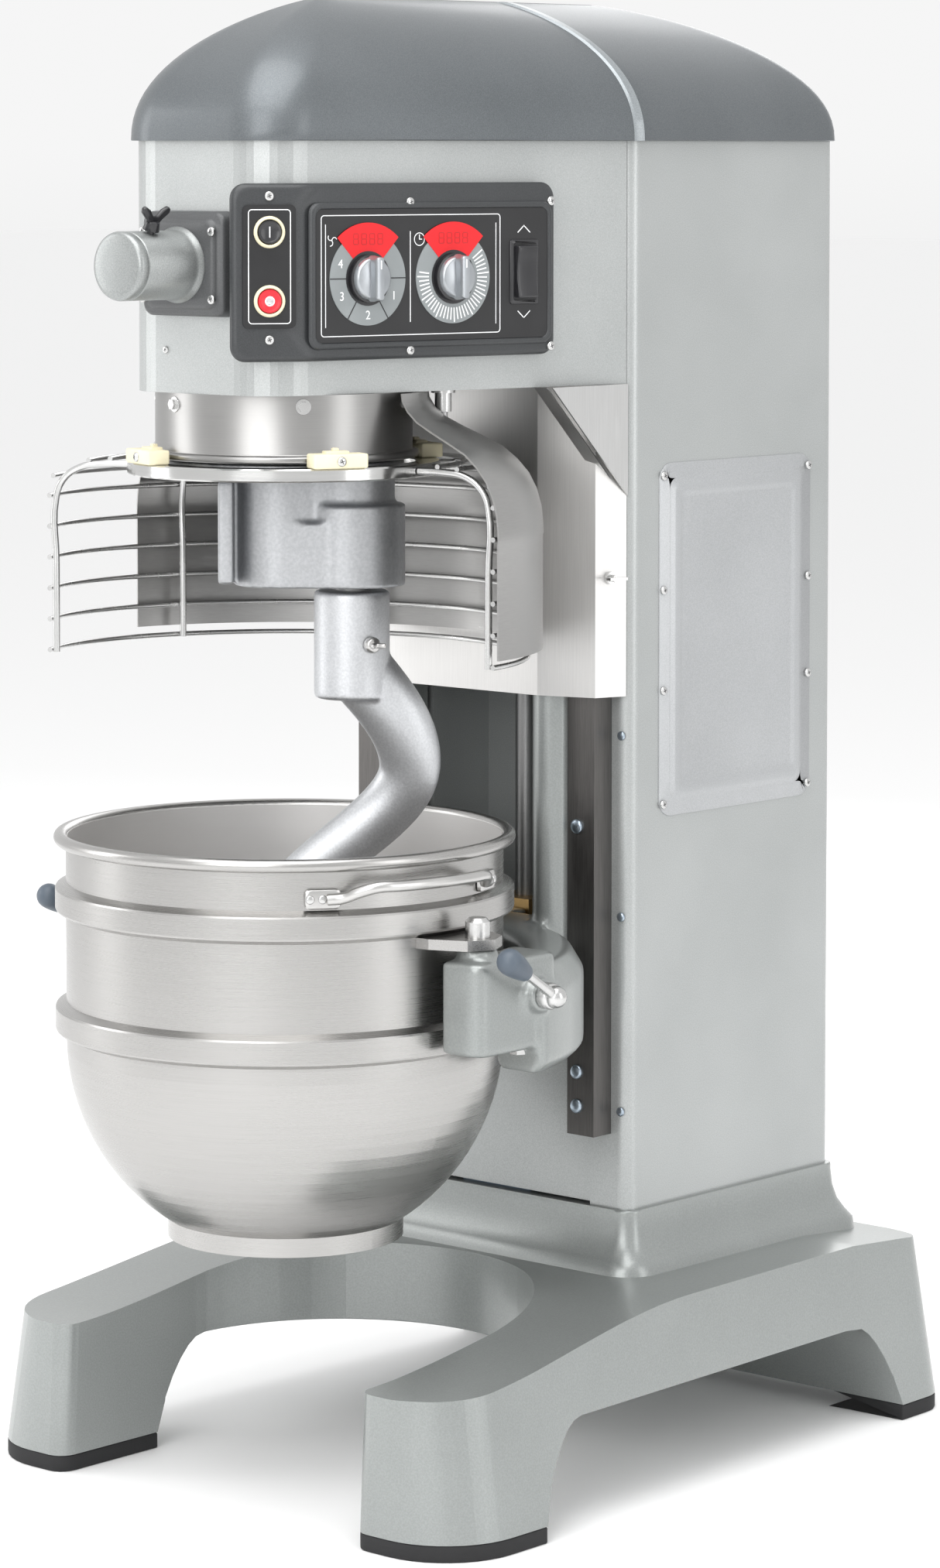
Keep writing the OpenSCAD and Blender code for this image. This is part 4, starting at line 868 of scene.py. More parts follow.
def addPanHead(bm, slotShades, place, r, h=None):
    # a domed screw head on its washer face, with a dark cross on it: painted shade standing for the sunk
    # cross recess
    h = h or r * 0.5
    spinProfile(bm, [(r, -0.0008), (r, h * 0.35), (r * 0.88, h * 0.72), (r * 0.62, h * 0.95),
                     (0.0001, h)], place, steps=18)
    for turn in (0, 90):
        spun = place @ Matrix.Rotation(math.radians(turn + 20), 4, "Z")
        addBox(slotShades, (-r * 0.46, -r * 0.09, h * 0.4), (r * 0.46, r * 0.09, h * 1.02), place=spun)


def islandSeats(node, inward=Vector((0, 0.28, 0.8))):
    # where each loose solid of a node sits: its middle, outward axis, radius and thickness
    bm = newMesh()
    bm.from_mesh(nodes[node].data)
    bmesh.ops.remove_doubles(bm, verts=bm.verts, dist=0.00002)
    left = set(bm.verts)
    seats = []
    while left:
        start = left.pop()
        group, reach = [start], [start]
        while reach:
            for edge in reach.pop().link_edges:
                for v in edge.verts:
                    if v in left:
                        left.discard(v)
                        group.append(v)
                        reach.append(v)
        areas = {}
        for f in {f for v in group for f in v.link_faces}:
            key = tuple(round(c, 1) + 0.0 for c in f.normal)
            total, normal = areas.get(key, (0.0, Vector()))
            areas[key] = (total + f.calc_area(), normal + f.normal * f.calc_area())
        axis = max(areas.values(), key=lambda a: a[0])[1].normalized()
        middle = sum((v.co for v in group), Vector()) / len(group)
        flat = Vector((middle.x - inward.x, middle.y - inward.y, 0))
        if axis.dot(flat) < 0:
            axis = -axis
        along = [v.co.dot(axis) for v in group]
        across = max((v.co - middle - axis * (v.co - middle).dot(axis)).length for v in group)
        middle += axis * (min(along) - middle.dot(axis))
        seats.append((middle, axis, across, max(along) - min(along)))
    bm.free()
    return seats


def screwSet(name, node, material, slotted=True):
    heads, slotShades = newMesh(), newMesh()
    for middle, axis, r, high in islandSeats(node):
        up = (0, 0, 1) if abs(axis.z) < 0.9 else (0, 1, 0)
        addPanHead(heads, slotShades, frameAt(middle + axis * 0.0008, axis, up), r, high - 0.0008)
    finishPiece(name, heads, material, "machine", [node], smooth=50)
    if slotted:
        finishPiece(name + "SlotShades", slotShades, crossRecessShade, "machine", (), smooth=30)
    else:
        slotShades.free()


screwSet("panelScrews", "panel_screws", brightSteel)
screwSet("slideBolts", "slideway_bolts", zincSteel, slotted=False)


def buildSidePanel(side):
    lo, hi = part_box("side_access_panels")
    panel = {"corner": 0.02, "flange": 0.0016, "rimOut": 0.021, "rimHigh": hi.x - columnHi.x - 0.0002,
             "rimWide": 0.006, "field": 0.0028}
    seat = frameAt((side * (columnHi.x - 0.0002), (lo.y + hi.y) / 2, (lo.z + hi.z) / 2), (side, 0, 0))
    halfW, halfH = (hi.y - lo.y) / 2, (hi.z - lo.z) / 2

    def ring(inset, out):
        return [seat @ Vector((x, y, out)) for x, y in roundedRect(-halfW + inset, -halfH + inset,
                halfW - inset, halfH - inset, max(panel["corner"] - inset * 0.45, 0.008), 6)]

    f, o, w = panel["flange"], panel["rimOut"], panel["rimWide"]
    top, field = panel["rimHigh"], panel["field"]
    steps = [(0, 0), (0, f - 0.0006), (0.0006, f), (o - 0.004, f), (o - 0.0015, f + 0.0007),
             (o + 0.0015, top - 0.0006), (o + 0.004, top),
             (o + 0.004 + w, top), (o + 0.0065 + w, top - 0.0006), (o + 0.009 + w,
                     field + 0.0006), (o + 0.0115 + w, field)]
    bm = newMesh()
    loftRings(bm, [ring(*s) for s in steps])
    label = "Right" if side > 0 else "Left"
    finishPiece("accessPanel" + label, bm, panelEnamel, "machine",
                ["side_access_panels"] if side > 0 else (), smooth=50)


for side in (1, -1):
    buildSidePanel(side)
print("panels ready")


control = {"nose": 0.107, "front": -0.135, "flare": 10.5, "corner": 0.036, "facet": 0.080, "facetTurn": -34,
           "out": 0.018, "low": 1.222, "top": 1.406, "end": 0.366, "dialZ": 1.307, "dialR": 0.049}
flare = math.radians(control["flare"])
flankDir = Vector((math.sin(flare), math.cos(flare), 0))
flankOut = Vector((math.cos(flare), -math.sin(flare), 0))
facetOut = Vector((math.cos(math.radians(control["facetTurn"])),
                   math.sin(math.radians(control["facetTurn"])), 0))
facetDir = Vector((-facetOut.y, facetOut.x, 0))
headStart = Vector((control["nose"], axisY + control["front"], 0))


def onHead(s, z, out=0.0):
    # a point on the head's flank, s back from its front corner
    return headStart + flankDir * s + flankOut * out + Vector((0, 0, z))


cornerP = onHead(control["corner"], 0, control["out"])


def onFacet(x, z, out=0.0):
    return cornerP + facetDir * (x - control["facet"] / 2) + facetOut * out + Vector((0, 0, z))


def onPanel(u, z, out=0.0):
    # wraps a flat panel round the corner: u < 0 on the facet, u > 0 on the flank
    soft = 0.007
    t = min(max((u + soft) / (2 * soft), 0), 1)
    base = cornerP + (facetDir * u if u < 0 else flankDir * u)
    normal = (facetOut * (1 - t) + flankOut * t).normalized()
    sag = -soft * 0.18 * max(0, 1 - abs(u) / soft) ** 2
    return base + normal * (out + sag) + Vector((0, 0, z))


def denseRect(x0, y0, x1, y1, r, step=0.006, n=7):
    # a rounded rectangle with points close enough to be bent
    ring = roundedRect(x0, y0, x1, y1, r, n)
    out = []
    for a, b in zip(ring, ring[1:] + ring[:1]):
        k = max(1, round(math.dist(a, b) / step))
        out += [(a[0] + (b[0] - a[0]) * i / k, a[1] + (b[1] - a[1]) * i / k) for i in range(k)]
    return out


def buildBezel():
    c = control
    left, right = -c["facet"], c["end"] - c["corner"]

    def ring(inset, out):
        pts = []
        for u, z in roundedGrid(left + inset, c["low"] + inset, right - inset, c["top"] - inset,
                                max(0.016 - inset * 0.8, 0.004)):
            if out <= -0.012:   # back edge: falls to the head behind it
                p = onPanel(u, z, 0)
                depth = c["out"] if u > 0 else c["out"] + 0.018 * min(1, -u / c["facet"])
                back = flankOut if u > 0 else (flankOut * (1 + u / c["facet"])
                                               + Vector((0, -1, 0)) * (-u / c["facet"])).normalized()
                pts.append(p - back * depth)
            else:
                pts.append(onPanel(u, z, out))
        return pts

    def roundedGrid(x0, y0, x1, y1, r):
        base = denseRect(left, c["low"], right, c["top"], 0.016)
        return [(x0 + (x - left) * (x1 - x0) / (right - left),
                 y0 + (y - c["low"]) * (y1 - y0) / (c["top"] - c["low"])) for x, y in base]

    soft = 0.007   # rounding of the face edge
    steps = [(0, -0.02)]
    for turn in (0, 18, 36, 54, 72, 90):
        a = math.radians(turn)
        steps.append((soft * (1 - math.cos(a)), -soft * (1 - math.sin(a))))
    bm = newMesh()
    loftRings(bm, [ring(*s) for s in steps], capEnd=False)
    # the face is filled, and its many-sided faces are cut into triangles so that it can turn the corner
    end = [e for e in bm.edges if e.is_boundary and all((v.co - onPanelNearest(v.co)).length < 0.004
                                                        for v in e.verts)]
    bmesh.ops.holes_fill(bm, edges=end, sides=0)
    bmesh.ops.triangulate(bm, faces=[f for f in bm.faces if len(f.verts) > 4], quad_method="BEAUTY",
                          ngon_method="BEAUTY")
    return bm


def onPanelNearest(p):
    u = (p - cornerP).dot(flankDir)
    if u >= 0:
        return onPanel(u, p.z)
    return onPanel((p - cornerP).dot(facetDir), p.z)


def addFrameLine(bm, ring, place, width, high):
    # a thin printed line round a closed outline
    x0, y0, x1, y1, r = ring
    outer = roundedRect(x0, y0, x1, y1, r, 5)
    inner = roundedRect(x0 + width, y0 + width, x1 - width, y1 - width, max(r - width, 0.0004), 5)
    a = [place @ Vector((x, y, 0)) for x, y in outer]
    b = [place @ Vector((x, y, high)) for x, y in outer]
    c = [place @ Vector((x, y, high)) for x, y in inner]
    d = [place @ Vector((x, y, 0)) for x, y in inner]
    loftRings(bm, [a, b, c, d, a], False, False)


def addStroke(bm, place, p, q, width=0.0009, high=0.0003):
    p, q = Vector((*p, 0)), Vector((*q, 0))
    along = q - p
    turn = Matrix.Translation((p + q) / 2) @ Matrix.Rotation(math.atan2(along.y, along.x), 4, "Z")
    addBox(bm, (-along.length / 2 - width / 2, -width / 2, 0),
           (along.length / 2 + width / 2, width / 2, high), place=place @ turn)


def addSector(bm, place, r0, r1, a0, a1, high, n=16):
    outline = arcPoints(0, 0, r1, a0, a1, n) + list(reversed(arcPoints(0, 0, r0, a0, a1, n)))
    addPrism(bm, outline, 0, high, place)


def addNumeral(bm, place, label, x, y, size, high=0.0003):
    curve = bpy.data.curves.new("numeral", "FONT")
    curve.body = label
    curve.size = size
    curve.extrude = high / 2
    curve.align_x = "CENTER"
    curve.align_y = "CENTER"
    holder = bpy.data.objects.new("numeral", curve)
    bpy.context.scene.collection.objects.link(holder)
    bpy.context.view_layer.update()
    mesh = bpy.data.meshes.new_from_object(holder.evaluated_get(bpy.context.evaluated_depsgraph_get()))
    bpy.data.objects.remove(holder)
    verts = addMesh(bm, mesh)
    move(bm, verts, place @ Matrix.Translation((x, y, high / 2)))


def buildControls():
    c = control
    pocketSeat = frameAt(onHead(0.320, c["dialZ"] + 0.004, c["out"]), flankOut)
    bezel = cutPocket(buildBezel(), (-0.0145, -0.031, -0.005), (0.0145, 0.031, 0.01), pocketSeat)
    finishPiece("controlBezel", bezel, trimEnamel, "machine", ["control_bezel"],
                smooth=40)
    fasciaSeat = frameAt(onHead(0, c["dialZ"], c["out"] + 0.002), flankOut)
    # local x of the seat runs back along the flank
    flip = -1 if fasciaSeat.col[0].to_3d().dot(flankDir) < 0 else 1
    lip, prints, red = newMesh(), newMesh(), newMesh()
    digits, black = newMesh(), newMesh()
    mid, half = 0.199 * flip, 0.153
    # moulded lip round the fascia
    lo, hi = -0.066, 0.072
    lipSeat = frameAt(onHead(0, c["dialZ"], c["out"]), flankOut)
    rings = []
    for inset, out in ((-0.0075, -0.001), (-0.0065, 0.0018), (-0.0045, 0.0032), (-0.0022, 0.0034),
                       (-0.0006, 0.0026), (-0.0002, -0.001)):
        ring = roundedRect(mid - half + inset, lo + inset, mid + half - inset, hi - inset,
                           0.009 - inset * 0.5, 6)
        rings.append([lipSeat @ Vector((x, y, out)) for x, y in ring])
    loftRings(lip, rings, False, False)
    finishPiece("fasciaLip", lip, trimEnamel, "machine", (), smooth=60)
    a, b = sorted((0.052 * flip, 0.288 * flip))
    addFrameLine(prints, (a, -0.060, b, 0.066, 0.004), fasciaSeat, 0.0009, 0.0003)
    for x in (0.058, 0.282):
        addStroke(prints, fasciaSeat, (x * flip, -0.050), (x * flip, 0.056), 0.0008)
    addStroke(prints, fasciaSeat, (0.168 * flip, -0.046), (0.168 * flip, 0.048), 0.0009)
    for sy in (1, -1):   # up and down marks by the rocker
        y = 0.004 + sy * 0.042
        for sx in (1, -1):
            addStroke(prints, fasciaSeat, ((0.320 + sx * 0.008) * flip, y),
                      (0.320 * flip, y + sy * 0.007), 0.001)
    # small generic marks: a clock beside the timer, a whisk spiral beside the speed dial
    clock = fasciaSeat @ Matrix.Translation((0.180 * flip, 0.040, 0))
    addSector(prints, clock, 0.0062, 0.0070, 0, 359.9, 0.0003, 24)
    addStroke(prints, clock, (0, 0), (0, 0.0045), 0.0009)
    addStroke(prints, clock, (0, 0), (0.003 * flip, 0), 0.0009)
    swirl = fasciaSeat @ Matrix.Translation((0.066 * flip, 0.040, 0))
    for turn in (0, 120, 240):
        addSector(prints, swirl @ Matrix.Rotation(math.radians(turn), 4,
                                                  "Z") @ Matrix.Translation((0.0034, 0, 0)), 0.0026,
                                                  0.0034, 20, 200, 0.0003, 10)
    for s in (0.112, 0.224):
        face = frameAt(onHead(s, c["dialZ"], c["out"] + 0.003), flankOut)
        addSector(red, face, 0.027, 0.058, 47, 133, 0.0005, 20)
        for k in range(4):   # faint figures in the window
            spot = face @ Matrix.Translation(((k - 1.5) * 0.0105, 0.041, 0.0005))
            for y in (-0.0055, 0, 0.0055):
                addStroke(digits, spot, (-0.0024, y), (0.0024, y), 0.0009, 0.0002)
            for x in (-0.0032, 0.0032):
                for y in (-0.0028, 0.0028):
                    addStroke(digits, spot, (x, y - 0.0018), (x, y + 0.0018), 0.0009, 0.0002)
        ringSeat = face @ Matrix.Translation((0, 0, 0.0002))
        addSector(black, ringSeat, 0.001, 0.0285, 0, 359.9, 0.0004, 40)
    speedFace = frameAt(onHead(0.112, c["dialZ"], c["out"] + 0.003), flankOut)
    for angle in (-58, -122, 180, 0):
        a = math.radians(angle)
        addStroke(black, speedFace, (0.028 * math.cos(a), 0.028 * math.sin(a)),
                  (0.0485 * math.cos(a), 0.0485 * math.sin(a)), 0.0011)
    for label, angle in (("4", 157), ("3", 209), ("2", 270), ("1", 331)):
        a = math.radians(angle)
        addNumeral(prints, speedFace, label, 0.0385 * math.cos(a), 0.0385 * math.sin(a), 0.013)
    timerFace = frameAt(onHead(0.224, c["dialZ"], c["out"] + 0.003), flankOut)
    for k in range(37):
        a = math.radians(36 - 6.2 * k)
        long = 0.0445 if k % 5 else 0.0470
        addStroke(prints, timerFace, (0.033 * math.cos(a), 0.033 * math.sin(a)),
                  (long * math.cos(a), long * math.sin(a)), 0.0014)
    finishPiece("printedLines", prints, printWhite, "machine", (), smooth=20)
    finishPiece("dialWindows", red, windowRed, "machine", (), smooth=20)
    finishPiece("windowFigures", digits, figureRed, "machine", (), smooth=20)
    finishPiece("dialMarks", black, blackPlastic, "machine", (), smooth=20)
    # start and stop
    plate, ringsBm = newMesh(), newMesh()
    plateSeat = frameAt(onFacet(0, c["dialZ"], 0.002), facetOut)
    addFrameLine(plate, (-0.0225, -0.0455, 0.0225, 0.0725, 0.004), plateSeat, 0.0009, 0.0003)
    finishPiece("startStopLine", plate, printWhite, "machine", (), smooth=20)
    for z in (0.049, -0.022):
        seat = plateSeat @ Matrix.Translation((0, z, 0))
        spinProfile(ringsBm, [(0.0131, 0), (0.0134, 0.0030), (0.0144, 0.0038), (0.0158, 0.0030),
                              (0.0166, 0)], seat, steps=40)
    finishPiece("buttonRings", ringsBm, creamPlastic, "machine", (), smooth=60)


def buildButtons():
    c = control
    mark = {"r": 0.0125, "crown": 0.0050}
    for name, node, z, material, slot in (("startButton", "start_button", 0.049, blackPlastic,
                                           "black_plastic"),
                                           ("stopButton", "stop_button", -0.022, redPlastic,
                                            "red_plastic")):
        seat = frameAt(onFacet(0, c["dialZ"] + z, 0), facetOut)
        bm, ink = newMesh(), newMesh()
        r, h = mark["r"], mark["crown"]
        spinProfile(bm, [(0.0001, -0.006), (r, -0.006), (r, h - 0.0022), (r - 0.0006, h - 0.0008),
                         (r - 0.0022, h - 0.0004), (r - 0.0034, h - 0.0012), (0.0001, h - 0.0016)],
                         seat, steps=48)
        if z > 0:
            addStroke(ink, seat @ Matrix.Translation((0, 0, h - 0.0016)), (0, -0.005), (0, 0.005), 0.0012)
        else:
            addSector(ink, seat @ Matrix.Translation((0, 0, h - 0.0016)), 0.0042, 0.0052, 0, 359.9,
                      0.0003, 30)
        finishPiece(name, bm, material, node, [node], smooth=40)
        finishPiece(name + "Mark", ink, printWhite, node, (), smooth=30)


def buildKnobs():
    c = control
    for name, s in (("speed_knob", 0.112), ("timer_knob", 0.224)):
        seat = frameAt(onHead(s, c["dialZ"], c["out"] + 0.0033), flankOut)
        skirt, bm, mark = newMesh(), newMesh(), newMesh()
        spinProfile(skirt, [(0.0001, 0), (0.0246, 0), (0.0250, 0.0008), (0.0250, 0.0046),
                            (0.0238, 0.0052), (0.0001, 0.0052)], seat, steps=64)
        spinProfile(bm, [(0.0225, 0.0040), (0.0224, 0.0080), (0.0212, 0.0112), (0.0195, 0.0124),
                         (0.0001, 0.0130)], seat, steps=64)
        bar = []
        for grow, z in ((0.0016, 0.0085), (0.0, 0.0125), (-0.0008, 0.0180), (-0.0012, 0.0214),
                        (-0.0026, 0.0228), (-0.0044, 0.0230)):
            hx, hy, r = 0.0058 + grow * 0.7, 0.0232 + grow * 0.5, 0.0046 + grow * 0.5
            bar.append([seat @ Vector((x, y, z)) for x, y in roundedRect(-hx, -hy, hx, hy, r, 6)])
        loftRings(bm, bar)
        addBox(mark, (-0.0007, 0.010, 0.0229), (0.0007, 0.019, 0.0232), place=seat)
        title = "speedKnob" if s < 0.2 else "timerKnob"
        finishPiece(title, bm, silverPlastic, name, [name], smooth=42)
        finishPiece(title + "Skirt", skirt, blackPlastic, name, (), smooth=40)
        finishPiece(title + "Mark", mark, printWhite, name, (), smooth=40)


def buildRocker():
    seat = frameAt(onHead(0.320, control["dialZ"] + 0.004, control["out"] + 0.0003), flankOut)
    bm, frameBm = newMesh(), newMesh()
    profile = [(-0.0275, 0.0), (-0.0275, 0.0095), (-0.0262, 0.0112), (-0.018, 0.0098), (-0.009, 0.0082),
               (0, 0.0077),
               (0.009, 0.0082), (0.018, 0.0098), (0.0262, 0.0112), (0.0275, 0.0095), (0.0275, 0.0)]
    turned = seat @ Matrix(((0, 0, 1, 0), (1, 0, 0, 0), (0, 1, 0, 0), (0, 0, 0, 1)))
    addPrism(bm, profile, -0.0132, 0.0132, turned)
    bevelEdges(bm, sharpEdges(bm, 60), 0.0014, 3)
    finishPiece("liftRocker", bm, blackPlastic, "lift_rocker", ["lift_rocker"], smooth=40)
    rings = []
    for inset, out in ((-0.0046, 0.001), (-0.0042, 0.0032), (-0.003, 0.0040), (-0.001, 0.0040),
                       (-0.0004, 0.0030), (-0.0002, 0.001)):
        ring = roundedRect(-0.0148 + inset, -0.0300 + inset, 0.0148 - inset, 0.0300 - inset, 0.003, 4)
        rings.append([seat @ Vector((x, y, out)) for x, y in ring])
    loftRings(frameBm, rings, False, False)
    finishPiece("rockerFrame", frameBm, blackPlastic, "machine", (), smooth=50)


buildControls()
buildButtons()
buildKnobs()
buildRocker()
print("controls ready")


hub = {"z": 1.321, "plateX": 0.060, "plateLow": -0.054, "plateTop": 0.056, "thick": 0.025, "r": 0.036,
       "tip": 0.236, "cap": 0.250, "front": 0.135}


def buildHub():
    seat = frameAt((0, axisY - hub["front"], hub["z"]), (0, -1, 0))
    bm = newMesh()
    rings = []
    for inset, out in ((0, 0), (0.0006, 0.0135), (0.0016, 0.0160), (0.0040, 0.0180), (0.0075, 0.0188),
                       (0.0085, 0.0205), (0.0100, 0.0235), (0.0135, hub["thick"]), (0.020, hub["thick"])):
        ring = roundedRect(-hub["plateX"] + inset, hub["plateLow"] + inset, hub["plateX"] - inset,
                           hub["plateTop"] - inset, 0.012, 6)
        rings.append([seat @ Vector((x, y, out)) for x, y in ring])
    loftRings(bm, rings)
    finishPiece("hubPlate", bm, hubTrim, "machine", ["hub_plate"], smooth=50)
    barrel = newMesh()
    r, tip = hub["r"], hub["tip"] - hub["front"]
    spinProfile(barrel, [(r + 0.004, 0.0252), (r + 0.0035, 0.027), (r + 0.0012, 0.030), (r, 0.034),
                         (r, tip - 0.0022), (r - 0.0008, tip - 0.0006), (r - 0.0022, tip),
                         (0.0242, tip), (0.0242, 0.03)], seat, steps=72)
    finishPiece("hubBarrel", barrel, hubEnamel, "machine", ["hub_barrel"], smooth=50)
    capBm = newMesh()
    lo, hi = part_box("hub_cap")
    start = -(hi.y - (axisY - hub["front"]))
    face = -(lo.y - (axisY - hub["front"]))
    capR = (hi.x - lo.x) / 2
    tipGap = tip + 0.0004
    spinProfile(capBm, [(0.0001, tipGap), (capR - 0.0004, tipGap), (capR, tipGap + 0.0010),
                        (capR, face - 0.0060), (capR - 0.0010, face - 0.0034),
                        (capR - 0.0030, face - 0.0018),
                        (capR - 0.0060, face - 0.0012), (capR * 0.55, face - 0.0003), (0.0001,
                                face)], seat, steps=72)
    spinProfile(capBm, [(0.0001, start + 0.0006), (0.0218, start + 0.0006), (0.0225, start + 0.0014),
                        (0.0225, tipGap), (0.0001, tipGap)], seat, steps=48)
    finishPiece("hubCap", capBm, hubEnamel, "hub_cap", ["hub_cap"], smooth=45)


def addWing(bm, seat, start, half, thick, high):
    # two ears of a wing screw
    outline = [(0.35 * half, 0), (0.55 * half, 0.25 * high), (0.95 * half, 0.62 * high),
               (1.0 * half, 0.86 * high),
               (0.82 * half, high), (0.45 * half, 0.80 * high), (0.16 * half, 0.46 * high)]
    outline += [(-x, y) for x, y in reversed(outline)]
    flat = seat @ Matrix.Translation((0, 0, start)) @ Matrix.Rotation(math.pi / 2, 4, "X")
    before = set(bm.verts)
    addPrism(bm, outline, -thick / 2, thick / 2, flat)
    made = [v for v in bm.verts if v not in before]
    bevelEdges(bm, sharpEdges(bm, 60, made), thick * 0.3, 3)


def buildThumbScrews():
    turn = math.radians(hook["turn"])
    middle = Vector((hook["out"] * math.cos(turn), axisY + hook["out"] * math.sin(turn),
                     hook["collarLow"] + 0.060))
    out = turn - math.radians(60)
    seat = frameAt(middle, (math.cos(out), math.sin(out), 0))
    bm = newMesh()
    spinProfile(bm, [(0.0001, 0.0210), (0.0050, 0.0210), (0.0050, 0.0412), (0.0088, 0.0412),
                     (0.0090, 0.0418), (0.0084, 0.0470),
                     (0.0064, 0.0492), (0.0001, 0.0496)], seat, steps=36)
    addWing(bm, seat, 0.0470, 0.0088, 0.0052, 0.0135)
    finishPiece("hookThumbScrew", bm, handleSteel, nodeBody["hook_thumb_screw"], ["hook_thumb_screw"],
                smooth=50)
    lo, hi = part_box("hub_thumb_screw")
    tilt = math.radians(20)
    seat = frameAt((0, (lo.y + hi.y) / 2, hub["z"]), (math.sin(tilt), 0, math.cos(tilt)), (0, 1, 0))
    bm = newMesh()
    spinProfile(bm, [(0.0001, 0.0260), (0.0040, 0.0260), (0.0040, 0.0392), (0.0086, 0.0392),
                     (0.0090, 0.0400), (0.0074, 0.0490),
                     (0.0056, 0.0500), (0.0001, 0.0502)], seat, steps=36)
    addWing(bm, seat @ Matrix.Rotation(math.pi / 2, 4, "Z"), 0.0465, 0.0195,
            0.0056, 0.0190)
    finishPiece("hubThumbScrew", bm, blackPlastic, nodeBody["hub_thumb_screw"], ["hub_thumb_screw"],
                smooth=50)


buildHub()
buildThumbScrews()


guard = {"r": 0.260, "wire": 0.0028, "low": 0.902, "step": 0.0334, "from": 10, "span": 200,
         "ringLow": 1.097, "ringTop": 1.111}


def arc3d(r, z, a0, a1, n):
    return [Vector((r * math.cos(math.radians(a)), axisY + r * math.sin(math.radians(a)), z))
            for a in [a0 + (a1 - a0) * i / n for i in range(n + 1)]]


def buildGuard():
    g = guard
    bm = newMesh()
    a0, a1 = g["from"], g["from"] + g["span"]
    for i in range(6):
        addMesh(bm, tubeAlong("hoop", arc3d(g["r"], g["low"] + i * g["step"], a0, a1, 26), g["wire"],
                              resolution=3, steps=4))
    for r, z in ((0.2555, 1.0905), (0.216, 1.1076), (0.192, 1.1094)):
        addMesh(bm, tubeAlong("hoop", arc3d(r, z, a0, a1, 26), g["wire"], resolution=3, steps=4))
    inner = g["r"] - 2 * g["wire"] - 0.0011
    shoulder = [(inner, g["low"] - 0.002), (inner, 1.000), (inner, 1.066), (inner - 0.008, 1.086),
                (inner - 0.027, 1.0995), (inner - 0.052, 1.1036), (0.168, 1.1042)]
    for k in (0.003, 0.25, 0.5, 0.75, 0.997):
        a = math.radians(g["from"] + k * g["span"])
        line = [Vector((r * math.cos(a), axisY + r * math.sin(a), z)) for r, z in shoulder]
        addMesh(bm, tubeAlong("upright", line, g["wire"] + 0.001, resolution=4, steps=5))
    finishPiece("guardCage", bm, brightSteel, "guard", ["guard_wires"], smooth=60)
    ring = newMesh()
    lo, hi, r0, r1, b = g["ringLow"], g["ringTop"], 0.141, 0.167, 0.0016
    spinProfile(ring, [(r0, lo + b), (r0 + b, lo), (r1 - b, lo), (r1, lo + b), (r1, hi - b),
                       (r1 - b, hi), (r0 + b, hi), (r0, hi - b), (r0, lo + b)],
                       Matrix.Translation((0, axisY, 0)), steps=120)
    finishPiece("guardRing", ring, ringSteel, "guard", ["guard_ring"], smooth=35)
    guides = newMesh()
    screws, slotShades = newMesh(), newMesh()
    for angle in (64, 154, 249, 334):
        turn = Matrix.Translation((0, axisY, 0)) @ Matrix.Rotation(math.radians(angle), 4, "Z")
        addBox(guides, (0.1462, -0.030, 1.1112), (0.171, 0.030, 1.1265), 0.0022, 3, turn)
        addBox(guides, (0.1465, -0.013, 1.1240), (0.160, 0.013, 1.129), 0.0012, 2, turn)
        addBox(guides, (0.1480, -0.0035, 1.1260), (0.1545, 0.0035, 1.1320), 0.0012, 2, turn)
        addPanHead(screws, slotShades, turn @ frameAt((0.171, 0.0, 1.1185), (1, 0, 0)), 0.0052, 0.003)
    finishPiece("guardGuides", guides, creamPlastic, "guard", ["guard_guides"], smooth=40)
    finishPiece("guideScrews", screws, brightSteel, "guard", (), smooth=50)
    finishPiece("guideScrewSlotShades", slotShades, crossRecessShade, "guard", (), smooth=30)


def buildShield():
    # solid rear half of the guard: a skirt, a shoulder and a lip under the head
    line = [(0.2740, 0.911), (0.2740, 1.032), (0.2748, 1.034), (0.2742, 1.048), (0.2725, 1.062),
            (0.2675, 1.080), (0.2595, 1.096), (0.2480, 1.110), (0.2330, 1.123),
            (0.2120, 1.134), (0.1900, 1.145), (0.1720, 1.155), (0.1600, 1.166), (0.1535,
                    1.177), (0.1520, 1.1852)]
    thick = 0.0019
    outer, inner = [], []
    for i, (r, z) in enumerate(line):
        p, q = Vector(line[max(i - 1, 0)]), Vector(line[min(i + 1, len(line) - 1)])
        d = (q - p).normalized()
        outer.append((r + d.y * thick, z - d.x * thick))
        inner.append((r, z))
    top = 1.1854
    outer = [(r, min(z, top)) for r, z in outer]
    bm = newMesh()
    loop = outer + list(reversed(inner))
    start = Matrix.Rotation(math.radians(7), 4, "Z")
    verts = [bm.verts.new(start @ Vector((r, 0, z))) for r, z in loop]
    face = bm.faces.new(verts)
    bmesh.ops.spin(bm, geom=[face], cent=(0, 0, 0), axis=(0, 0, 1), dvec=(0, 0, 0),
                   angle=math.radians(163), steps=64,
                   use_merge=False, use_normal_flip=False, use_duplicate=False)
    move(bm, bm.verts, Matrix.Translation((0, axisY, 0)))
    finishPiece("splashShield", bm, shieldSteel, nodeBody["splash_shield"], ["splash_shield"],
                smooth=50)


